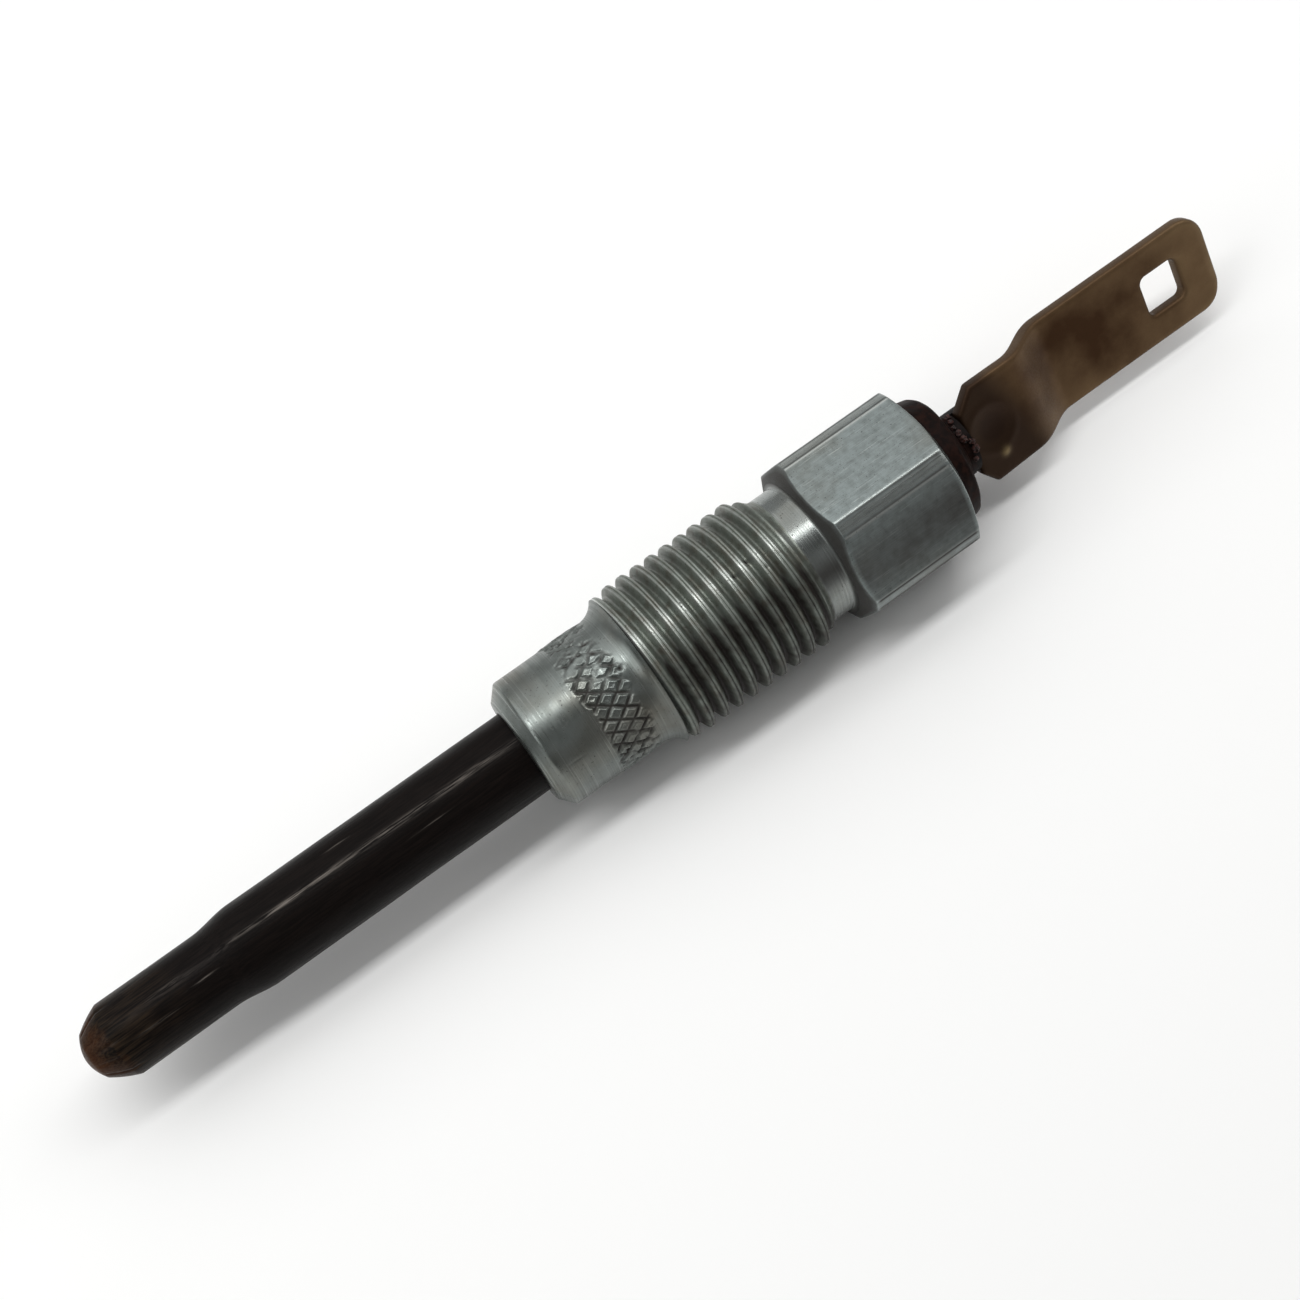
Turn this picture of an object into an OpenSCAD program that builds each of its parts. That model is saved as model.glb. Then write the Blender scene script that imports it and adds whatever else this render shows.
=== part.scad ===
// Sheathed diesel glow plug, lying on one flat of its hexagon.
// Origin: on the axis, in the plane of the nose end. +X runs to the terminal, +Z is up.

/* [Heater tube] */
// Length of the tube that stands out of the nose
probe_len = 28.6; // [24:0.1:34]
// Outside diameter of the tube
tube_d = 5.1; // [4.8:0.05:5.6]
// Outside diameter of the swaged tip
tip_d = 4.52; // [4.2:0.02:4.7]
// Wall thickness of the tube
tube_wall = 0.5; // [0.4:0.05:0.6]
// Thickness of the closed end
tip_wall = 1.2; // [0.8:0.1:2]
// Length of the swaged tip, up to where it widens
tip_len = 8.1; // [6:0.1:10]
// Length over which the tip widens to the full tube
swage_len = 2.6; // [1.5:0.1:4]
// Length of the cone at the end of the tip
tip_cone_len = 1.5; // [1:0.1:2]
// Diameter of the small end of that cone
tip_face_d = 2.86; // [2:0.02:3.4]
// Height of the dome that closes the tip
tip_dome = 0.5; // [0.2:0.05:0.8]
// Length of the tube that is pressed into the housing
tube_grip = 16; // [13:0.5:18]

/* [Housing] */
// Diameter of the plain nose
nose_d = 8.16; // [7.6:0.02:8.6]
// Length of the nose, up to the fillet below the thread
nose_len = 6.5; // [5:0.1:9]
// Diameter of the flat end of the nose
seat_face_d = 6.4; // [5.8:0.1:7]
// Length of the conical seat
seat_len = 0.75; // [0.4:0.05:1.2]
// Length of the fillet between the nose and the thread
fillet_len = 1; // [0.6:0.1:1.6]
// How far the fillet bows inwards
fillet_bow = 0.2; // [0:0.02:0.3]
// Outside diameter of the thread
thread_d = 9.92; // [9.6:0.02:10]
// Pitch of the thread
thread_pitch = 1; // [0.75:0.25:1.5]
// Depth of the thread
thread_depth = 0.55; // [0.3:0.05:0.65]
// Width of the thread's crest
crest_w = 0.16; // [0.1:0.02:0.24]
// How much lower the first and the last turn are
lead_drop = 0.16; // [0:0.02:0.24]
// Length of the threaded part, run-out included
thread_len = 11; // [8:0.5:14]
// Diameter of the shank between the thread and the hexagon
shank_d = 8.3; // [7.8:0.1:8.8]
// Length of the shank
shank_len = 1.45; // [0.8:0.05:3]
// Size of the hexagon across its flats
hex_flats = 10; // [10:0.5:12]
// How much the turned-down corners stand over the size across the flats
hex_corner_over = 1; // [0.6:0.1:1.4]
// Length of the hexagon
hex_len = 8.35; // [7:0.05:12]
// Diameter at the thread side of the hexagon, where its cone starts
hex_base_d = 9; // [8.9:0.1:9.8]
// Length of that cone
hex_base_len = 0.55; // [0.3:0.05:1]
// Diameter of the flat ring at the terminal end of the hexagon
hex_end_d = 8.4; // [8:0.1:9.4]
// Length of the chamfer at the terminal end
hex_end_len = 0.55; // [0.3:0.05:1]

/* [Knurl] */
// Number of grooves that run each way around the nose
knurl_count = 28; // [20:1:32]
// Distance from the fillet back to the middle of the knurled band
knurl_back = 1.35; // [1:0.05:2]
// Width of the knurled band
knurl_w = 2.6; // [1.5:0.1:3]
// Angle of the grooves to the axis
knurl_angle = 35; // [30:1:45]
// Depth of the grooves that slant one way
knurl_depth = 0.11; // [0.09:0.01:0.15]
// Depth of the grooves that cross them
knurl_cross_depth = 0.07; // [0.05:0.01:0.08]

/* [Coils and fill] */
// Diameter of the coil wire
wire_d = 0.35; // [0.25:0.05:0.45]
// Diameter of both coils at the middle of the wire
coil_d = 2.2; // [1.8:0.1:2.2]
// Length of the heating coil with its two straight ends
heating_len = 9; // [7:0.5:11]
// Turns of the heating coil
heating_turns = 13; // [9:1:15]
// Length of the regulating coil with its two straight ends
regulating_len = 13; // [10:0.5:14]
// Turns of the regulating coil
regulating_turns = 11; // [8:1:14]
// Length of the straight end of a coil before its bend
coil_tail = 0.35; // [0.2:0.05:0.6]
// Bend radius between a straight end and the first turn
coil_bend = 0.45; // [0.3:0.05:0.6]
// Room between the wire and the fill
coil_gap = 0.03; // [0.01:0.01:0.06]

/* [Electrode and seals] */
// Diameter of the electrode inside the tube
foot_d = 2.7; // [2.6:0.1:3]
// Diameter of the electrode above the tube
rod_d = 3.8; // [3.2:0.1:4]
// Distance from the open end of the tube to the electrode's shoulder
shoulder_gap = 1.5; // [0.5:0.1:3]
// Length of the plug that seals the tube
tube_seal_len = 2.5; // [1.5:0.1:4]
// Diameter of the counterbore that holds the sealing ring
seal_bore_d = 6.6; // [6.2:0.1:7]
// Depth of that counterbore
seal_bore_len = 4.4; // [3.5:0.1:6]

/* [Insulator] */
// Diameter of the insulator at the face of the hexagon
insulator_d = 7.5; // [7.2:0.1:8]
// Diameter of its rim
insulator_rim_d = 7.2; // [6.8:0.1:7.5]
// Height of the rim above the hexagon
insulator_rim = 1.3; // [0.6:0.05:2]
// Height of the dome above the rim
insulator_dome = 0.85; // [0.4:0.05:1.2]
// Wall left around the electrode at the top of the dome
insulator_lip = 0.08; // [0.05:0.01:0.3]
// How far the dome bows outwards
insulator_bow = 0.16; // [0:0.02:0.3]

/* [Terminal blade] */
// Turn of the blade about the axis, from lying flat
blade_roll = 60; // [0:5:90]
// Width of the strip
blade_w = 6.2; // [4.8:0.1:6.4]
// Thickness of the strip
blade_t = 0.8; // [0.5:0.1:1]
// Distance from the top of the insulator to the strip
blade_gap = 0.55; // [0.2:0.05:1]
// Length of the lug that is welded to the electrode
lug_len = 3.9; // [3.5:0.1:6]
// Height of the lug's middle plane above the axis
lug_h = 0.35; // [0:0.05:0.6]
// Cut at the lug's upper corner
lug_cut = 1.5; // [0.5:0.1:2]
// Cut at the lug's lower corner
lug_low_cut = 0.8; // [0.5:0.1:2]
// Length of the joggle
joggle_len = 3.6; // [2:0.1:5]
// How far the joggle sets the blade back
joggle_drop = 1.7; // [1:0.1:2.4]
// Length of the straight blade
blade_len = 11.9; // [10:0.1:16]
// Radius of the blade's two corners
blade_round = 1.6; // [0.8:0.05:2]
// Side of the square latch hole
latch_side = 2.6; // [1.8:0.1:3]
// Radius in the corners of the latch hole
latch_round = 0.45; // [0.2:0.05:0.6]
// Distance from the blade's end to the middle of the latch hole
latch_back = 3.7; // [3:0.1:5]
// Diameter of the spot-weld dimple in the lug
weld_d = 2.8; // [1.5:0.1:3]
// Depth of the dimple
weld_depth = 0.14; // [0.05:0.01:0.2]
// Distance from the end of the electrode back from the joggle
rod_back = 0.6; // [0.4:0.1:1.5]
// Distance by which the electrode's flat starts before the lug
flat_lead = 0.15; // [0.1:0.05:0.3]

/* [Hidden] */
$fn = 96;
eps = 0.01;
reach = 100;
arc_steps = 8;
wire_sides = 6;
knurl_phase = 0.25;
turn_steps = 16;

tube_r = tube_d / 2;
tip_r = tip_d / 2;
tip_x = -probe_len;
tip_inner_x = tip_x + tip_wall;

thread_x = nose_len + fillet_len;
shank_x = thread_x + thread_len;
hex_x = shank_x + shank_len;
end_x = hex_x + hex_len;
hex_corner_r = (hex_flats + hex_corner_over) / 2;
thread_r = thread_d / 2;
root_r = thread_r - thread_depth;
turns = floor(thread_len / thread_pitch);

heating_x = tip_inner_x;
regulating_x = heating_x + heating_len;
foot_x = regulating_x + regulating_len;
shoulder_x = tube_grip + shoulder_gap;
seal_x = tube_grip - tube_seal_len;
seal_bore_x = end_x - seal_bore_len;
ring_r = (seal_bore_d - rod_d) / 4;

dome_x = end_x + insulator_rim + insulator_dome;
lug_x = dome_x + blade_gap;
joggle_x = lug_x + lug_len;
blade_x = joggle_x + joggle_len;
blade_end = blade_x + blade_len;
rod_end = joggle_x - rod_back;
flat_h = lug_h - blade_t / 2;

steel_colour = "#a9b0ad";
sheath_colour = "#2a2522";
coil_colour = "#8d8a84";
fill_colour = "#d8d4cc";
seal_colour = "#2b2b2b";
bush_colour = "#2c211f";
tab_colour = "#6a5b46";

// Points from p to q on a curve that bows by sag to the left of the way from p to q.
function bow(p, q, sag) =
    let (d = q - p, n = [-d[1], d[0]] / norm(d))
    [for (i = [0:arc_steps]) let (t = i / arc_steps) p + d * t + n * 4 * sag * t * (1 - t)];

// Height of a smooth step from 0 to 1 at the share t of its length.
function ease(t) = (1 - cos(180 * min(1, max(0, t)))) / 2;

// Turns a profile of [radius, x] points about the X axis.
module turned(points) {
    rotate([0, 90, 0]) rotate_extrude() polygon(points);
}

// A rod of radius r from x0 to x1 on the X axis.
module rod(r, x0, x1) {
    translate([x0, 0, 0]) rotate([0, 90, 0]) cylinder(r = r, h = x1 - x0);
}

// Radius of the tube's outside, less an inset, at the swage's share t.
function swage_r(t, inset) = tip_r + (tube_r - tip_r) * ease(t) - inset;

// The swaged stretch and the tube behind it, as [radius, x] points set in by an inset.
function tube_side(inset) = concat(
    [for (i = [0:arc_steps])
        let (t = i / arc_steps)
        [swage_r(t, inset), tip_x + tip_len + swage_len * t]],
    [[tube_r - inset, tube_grip]]
);

// Outline of the space inside the tube, up to the plane x_top.
function tube_space(x_top) = concat(
    [[0, x_top], [0, tip_inner_x], [tip_r - tube_wall, tip_inner_x]],
    [for (p = tube_side(tube_wall)) [p[0], min(p[1], x_top)]]
);

// Crest radius of thread turn i: the first and the last are lower.
function crest_r(i) = thread_r - (i == 0 || i == turns - 1 ? lead_drop : 0);

// Points of the thread: a crest for each turn, with a root before the next.
function thread_points() = [
    for (i = [0:turns - 1], k = [0:2])
        let (x = thread_x + (i + 0.5) * thread_pitch)
        k == 2
            ? [i < turns - 1 ? root_r : shank_d / 2, i < turns - 1 ? x + thread_pitch / 2 : shank_x]
            : [crest_r(i), x + (k - 0.5) * crest_w]
];

// The fillet starts on the nose and ends on the flank of the first turn.
function fillet_points() = bow(
    [nose_d / 2, nose_len],
    [crest_r(0), thread_x + thread_pitch / 2 - crest_w],
    fillet_bow
);

// Outside of the housing, from the nose end to the hexagon.
module turned_shank() {
    turned(concat(
        [[0, 0], [seat_face_d / 2, 0], [nose_d / 2, seat_len]],
        fillet_points(),
        thread_points(),
        [[shank_d / 2, hex_x + hex_base_len], [0, hex_x + hex_base_len]]
    ));
}

// The hexagon, with a cone at each end and its corners turned down.
module hexagon() {
    intersection() {
        translate([hex_x, 0, 0]) rotate([30, 0, 0]) rotate([0, 90, 0])
            cylinder(r = hex_flats / 2 / cos(30), h = hex_len, $fn = 6);
        turned([
            [0, hex_x],
            [hex_base_d / 2, hex_x],
            [hex_corner_r, hex_x + hex_base_len],
            [hex_corner_r, end_x - hex_end_len],
            [hex_end_d / 2, end_x],
            [0, end_x]
        ]);
    }
}

// One set of V-shaped knurl grooves around the nose, at an angle to the axis.
module knurl_grooves(angle, depth) {
    for (i = [0:knurl_count - 1])
        rotate([360 * (i + knurl_phase) / knurl_count, 0, 0])
            translate([nose_len - knurl_back, 0, nose_d / 2])
                rotate([0, 0, angle])
                    rotate([45, 0, 0])
                        cube([knurl_w, depth * sqrt(2), depth * sqrt(2)], center = true);
}

module housing() {
    color(steel_colour)
        difference() {
            union() {
                turned_shank();
                hexagon();
            }
            rod(tube_r, -eps, end_x + eps);
            rod(seal_bore_d / 2, seal_bore_x, end_x + eps);
            knurl_grooves(knurl_angle, knurl_depth);
            knurl_grooves(-knurl_angle, knurl_cross_depth);
        }
}

module heater_tube() {
    color(sheath_colour)
        difference() {
            turned(concat(
                bow([0, tip_x], [tip_face_d / 2, tip_x + tip_dome], -tip_dome / 4),
                [[tip_r, tip_x + tip_dome + tip_cone_len]],
                tube_side(0),
                [[0, tube_grip]]
            ));
            turned(tube_space(tube_grip + eps));
        }
}

// Points [around, along] of a coil's wire, laid flat: a straight end, a bend, the turns, and back.
function coil_flat(len, n) =
    let (
        around = PI * coil_d * n,
        rise = len - 2 * coil_tail - 2 * coil_bend,
        slope = atan(rise / (around - 2 * coil_bend)),
        bend = [for (i = [0:4])
            let (a = (90 - slope) * i / 4)
            [coil_bend * (1 - cos(a)), coil_tail + coil_bend * sin(a)]],
        first = bend[4],
        last = [around, len] - first,
        steps = turn_steps * n
    )
    concat(
        [[0, 0]],
        bend,
        [for (i = [1:steps - 1]) first + (last - first) * i / steps],
        [for (i = [4:-1:0]) [around, len] - bend[i]],
        [[around, len]]
    );

// A wire of n turns and the given length, swept along its path from x0.
module coil(x0, len, n) {
    coil_r = coil_d / 2;
    flat = coil_flat(len, n);
    count = len(flat);
    out = [for (p = flat) let (a = p[0] / coil_r * 180 / PI) [0, cos(a), sin(a)]];
    path = [for (i = [0:count - 1]) [x0 + flat[i][1], 0, 0] + out[i] * coil_r];
    rings = [for (i = [0:count - 1], k = [0:wire_sides - 1])
        let (
            along = path[min(i + 1, count - 1)] - path[max(i - 1, 0)],
            across = cross(along, out[i]) / norm(cross(along, out[i])),
            a = 360 * k / wire_sides
        )
        path[i] + (out[i] * cos(a) + across * sin(a)) * wire_d / 2];
    walls = [for (i = [0:count - 2], k = [0:wire_sides - 1], half = [0, 1])
        let (
            a = i * wire_sides + k,
            b = i * wire_sides + (k + 1) % wire_sides
        )
        half == 0 ? [a, a + wire_sides, b + wire_sides] : [a, b + wire_sides, b]];
    ends = [
        [for (k = [0:wire_sides - 1]) k],
        [for (k = [wire_sides - 1:-1:0]) (count - 1) * wire_sides + k]
    ];
    polyhedron(rings, concat(walls, ends));
}

module heating_coil() {
    color(coil_colour) coil(heating_x, heating_len, heating_turns);
}

module regulating_coil() {
    color(coil_colour) coil(regulating_x, regulating_len, regulating_turns);
}

// Room in the fill for one coil: a ring-shaped space and a hole for each straight end.
module coil_space(x0, len) {
    half = wire_d / 2 + coil_gap;
    difference() {
        rod(coil_d / 2 + half, x0 + coil_tail - half, x0 + len - coil_tail + half);
        rod(coil_d / 2 - half, x0, x0 + len);
    }
    translate([0, coil_d / 2, 0]) rod(half, x0 - eps, x0 + len + eps);
}

module magnesia_fill() {
    color(fill_colour)
        difference() {
            turned(tube_space(seal_x));
            coil_space(heating_x, heating_len);
            coil_space(regulating_x, regulating_len);
            rod(foot_d / 2, foot_x, seal_x + eps);
        }
}

module tube_seal() {
    color(seal_colour)
        difference() {
            rod(tube_r - tube_wall, seal_x, tube_grip);
            rod(foot_d / 2, seal_x - eps, tube_grip + eps);
        }
}

// The electrode is cut to a flat where the lug lies on it.
module centre_electrode() {
    color(steel_colour)
        difference() {
            union() {
                rod(foot_d / 2, foot_x, shoulder_x);
                rod(rod_d / 2, shoulder_x, rod_end);
            }
            rotate([blade_roll, 0, 0])
                translate([lug_x - flat_lead, -rod_d, flat_h])
                    cube([reach, 2 * rod_d, rod_d]);
        }
}

module sealing_ring() {
    color(seal_colour)
        translate([seal_bore_x + ring_r, 0, 0])
            rotate([0, 90, 0])
                rotate_extrude()
                    translate([rod_d / 2 + ring_r, 0])
                        circle(r = ring_r);
}

module insulator() {
    lip_r = rod_d / 2 + insulator_lip;
    color(bush_colour)
        turned(concat(
            [
                [rod_d / 2, dome_x],
                [rod_d / 2, seal_bore_x + 2 * ring_r],
                [seal_bore_d / 2, seal_bore_x + 2 * ring_r],
                [seal_bore_d / 2, end_x],
                [insulator_d / 2, end_x]
            ],
            bow([insulator_rim_d / 2, end_x + insulator_rim], [lip_r, dome_x], -insulator_bow)
        ));
}

// Height of the strip's middle plane above the axis, and its slope, at x.
function strip_h(x) = lug_h - joggle_drop * ease((x - joggle_x) / joggle_len);
function strip_slope(x) = atan((strip_h(x + eps) - strip_h(x - eps)) / (2 * eps));

// One edge of the strip seen from the side, half a thickness to the side that side gives.
function strip_edge(side) = [
    for (x = concat(
        [lug_x],
        [for (i = [0:2 * arc_steps]) joggle_x + joggle_len * i / (2 * arc_steps)],
        [blade_end]
    ))
        [x, strip_h(x)] + side * blade_t / 2 * [-sin(strip_slope(x)), cos(strip_slope(x))]
];

function reversed(list) = [for (i = [len(list) - 1:-1:0]) list[i]];

// A square with round corners, centred.
module rounded_square(side, r) {
    square([side, side - 2 * r], center = true);
    square([side - 2 * r, side], center = true);
    for (u = [-1, 1], v = [-1, 1])
        translate([u, v] * (side / 2 - r)) circle(r = r);
}

// Outline of the strip seen from above: two cut corners at the lug, two round ones at the end.
module strip_outline() {
    half = blade_w / 2;
    round_x = blade_end - blade_round;
    polygon([
        [lug_x, half - lug_cut],
        [lug_x, lug_low_cut - half],
        [lug_x + lug_low_cut, -half],
        [round_x, -half],
        [round_x, half],
        [lug_x + lug_cut, half]
    ]);
    translate([round_x - eps, blade_round - half])
        square([blade_round + eps, blade_w - 2 * blade_round]);
    for (v = [-1, 1])
        translate([round_x, v * (half - blade_round)]) circle(r = blade_round);
}

module terminal_blade() {
    weld_r = (pow(weld_d / 2, 2) + pow(weld_depth, 2)) / (2 * weld_depth);
    color(tab_colour)
        rotate([blade_roll, 0, 0])
            difference() {
                intersection() {
                    rotate([90, 0, 0])
                        linear_extrude(blade_w, center = true)
                            polygon(concat(strip_edge(1), reversed(strip_edge(-1))));
                    linear_extrude(reach, center = true) strip_outline();
                }
                translate([blade_end - latch_back, 0, 0])
                    linear_extrude(reach, center = true) rounded_square(latch_side, latch_round);
                translate([(lug_x + rod_end) / 2, 0, lug_h + blade_t / 2 - weld_depth + weld_r])
                    sphere(r = weld_r);
            }
}

housing();
heater_tube();
heating_coil();
regulating_coil();
magnesia_fill();
tube_seal();
centre_electrode();
sealing_ring();
insulator();
terminal_blade();
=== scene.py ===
"""Dresses a used sheathed glow plug that lies on one flat of its hexagon.

Lengths are millimetres in the part's own frame, unless a name says metres. The axis of the plug
is X, the nose ends at x = 0, the heater tip points to -X and the terminal blade to +X. Angles
around the axis start at +Y and rise towards +Z.
"""

import logging
import math
import random
from collections.abc import Callable
from dataclasses import dataclass, field
from enum import Enum, IntEnum
from functools import partial

import bmesh
import bpy
import numpy as np
from mathutils import Matrix, Vector, noise


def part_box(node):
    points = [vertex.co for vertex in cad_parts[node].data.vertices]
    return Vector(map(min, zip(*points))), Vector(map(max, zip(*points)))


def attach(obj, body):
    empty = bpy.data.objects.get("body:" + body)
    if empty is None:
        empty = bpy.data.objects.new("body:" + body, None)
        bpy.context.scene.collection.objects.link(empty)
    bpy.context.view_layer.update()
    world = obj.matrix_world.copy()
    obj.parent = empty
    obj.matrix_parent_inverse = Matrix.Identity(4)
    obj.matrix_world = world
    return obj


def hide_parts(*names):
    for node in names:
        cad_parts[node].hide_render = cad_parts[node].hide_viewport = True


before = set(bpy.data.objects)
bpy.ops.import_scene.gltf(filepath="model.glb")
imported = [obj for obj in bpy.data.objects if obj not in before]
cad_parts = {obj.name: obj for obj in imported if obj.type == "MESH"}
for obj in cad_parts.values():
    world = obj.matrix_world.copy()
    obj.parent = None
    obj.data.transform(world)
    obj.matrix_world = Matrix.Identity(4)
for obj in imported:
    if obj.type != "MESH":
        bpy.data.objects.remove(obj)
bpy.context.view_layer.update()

MM = 0.001
BODY = "root"
WELD_MM = 0.0005
log = logging.getLogger("glow_plug")
NodeAdder = Callable[..., bpy.types.Node]


def linear(hex_colour: str) -> tuple[float, float, float, float]:
    """Turns an sRGB hex colour into linear RGBA.

    Args:
        hex_colour: The colour as "#RRGGBB".

    Returns:
        Red, green, blue and an alpha of 1.
    """
    parts = [int(hex_colour[i:i + 2], 16) / 255 for i in (1, 3, 5)]
    red, green, blue = (c / 12.92 if c <= 0.04045 else ((c + 0.055) / 1.055) ** 2.4 for c in parts)
    return red, green, blue, 1.0


def add_node(tree: bpy.types.NodeTree, kind: str, inputs: dict | None = None, **settings) -> bpy.types.Node:
    """Adds a shader node with its settings, and sets or links its inputs.

    Args:
        tree: The node tree that gets the node.
        kind: Blender's name for the type of node, without the "ShaderNode" in front.
        inputs: A value, a socket, or a node whose first output in use is linked, for each input.
        settings: The node's own properties.

    Returns:
        The new node.
    """
    made = tree.nodes.new("ShaderNode" + kind)
    for name, value in settings.items():
        setattr(made, name, value)
    for key, value in (inputs or {}).items():
        if isinstance(value, bpy.types.Node):
            value = next(output for output in value.outputs if output.enabled)
        if isinstance(value, bpy.types.NodeSocket):
            tree.links.new(value, made.inputs[key])
        else:
            made.inputs[key].default_value = value
    return made


def start_material(name: str) -> tuple[bpy.types.Material, NodeAdder, bpy.types.Node]:
    """Starts an empty node material with coordinates in millimetres.

    Args:
        name: Name of the material.

    Returns:
        The material, the function that adds nodes to it, and the node with the coordinates.
    """
    made = bpy.data.materials.new(name)
    made.use_nodes = True
    made.node_tree.nodes.clear()
    add = partial(add_node, made.node_tree)
    place = add("TexCoord").outputs["Object"]
    return made, add, add("VectorMath", {0: place, 1: (1 / MM,) * 3}, operation="MULTIPLY")


def end_material(add: NodeAdder, relief: bpy.types.Node, depth: float, shading: dict) -> None:
    """Adds the bump, the shader and the output of a material.

    Args:
        add: The function that adds nodes to the material.
        relief: The node that gives the fine relief.
        depth: Height in millimetres of a relief of 1.
        shading: Values and nodes for the inputs of the shader.
    """
    bump = add("Bump", {"Height": relief, "Strength": 1.0, "Distance": depth * MM})
    shader = add("BsdfPrincipled", {**shading, "Normal": bump})
    add("OutputMaterial", {"Surface": shader})


def ease(t: np.ndarray) -> np.ndarray:
    """Gives a smooth step from 0 to 1."""
    return (1 - np.cos(np.pi * np.clip(t, 0, 1))) / 2


def soft_min(a: np.ndarray, b: np.ndarray, width: float) -> np.ndarray:
    """Gives the smaller of two values, with the crease between them rounded.

    Args:
        a: First values.
        b: Second values.
        width: Difference over which the crease is rounded.

    Returns:
        The rounded minimum.
    """
    share = np.clip(0.5 + 0.5 * (b - a) / width, 0, 1)
    return b * (1 - share) + a * share - width * share * (1 - share)


def ripple(points: np.ndarray, size: float | tuple[float, float, float], seed: int) -> np.ndarray:
    """Gives smooth noise between about -1 and 1.

    Args:
        points: Points in millimetres, one in each row.
        size: Size of the noise's features, for all directions or for each.
        seed: Number that picks the pattern.

    Returns:
        One value for each point.
    """
    shift = np.array([17.3, 5.1, 9.7]) * seed
    return np.array([noise.noise(Vector(p)) for p in points / np.array(size) + shift])


def turned_apart(phi: np.ndarray, angle_deg: float) -> np.ndarray:
    """Gives the angle in radians, from -pi to pi, between columns and an angle in degrees."""
    return np.mod(phi - math.radians(angle_deg) + math.pi, 2 * math.pi) - math.pi


def ring_points(x: np.ndarray | float, r: np.ndarray | float, phi: np.ndarray) -> np.ndarray:
    """Gives the points of a ring around the X axis, one for each column."""
    return np.stack([np.broadcast_to(x, phi.shape), r * np.cos(phi), r * np.sin(phi)], axis=-1)


def node_span(node: str) -> tuple[np.ndarray, np.ndarray]:
    """Gives the lowest and the highest corner of a CAD node in millimetres."""
    low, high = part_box(node)
    return np.array(low) / MM, np.array(high) / MM


@dataclass(frozen=True)
class Side:
    """A share on one side of a turned piece, with a soft border. Sides carry dirt, wear and painted shade."""

    turn_deg: float
    strength: float
    from_cos: float
    rise: float

    def at(self, phi: np.ndarray) -> np.ndarray:
        """Gives the share for the angles of the columns."""
        return self.strength * ease((np.cos(turned_apart(phi, self.turn_deg)) - self.from_cos) / self.rise)


@dataclass(frozen=True)
class Band:
    """A share in a band along a turned piece, with its half width in radians. Bands carry dirt, wear, painted
    shade and painted highlights.
    """

    turn_deg: float
    strength: float
    half_width: float

    def at(self, phi: np.ndarray) -> np.ndarray:
        """Gives the share for the angles of the columns."""
        return self.strength * np.exp(-(turned_apart(phi, self.turn_deg) / self.half_width) ** 2)


class Marks(Enum):
    """Way in which the fine marks of a metal surface run."""

    TURNED = "around the axis"
    DRAWN = "along the axis"


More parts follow.
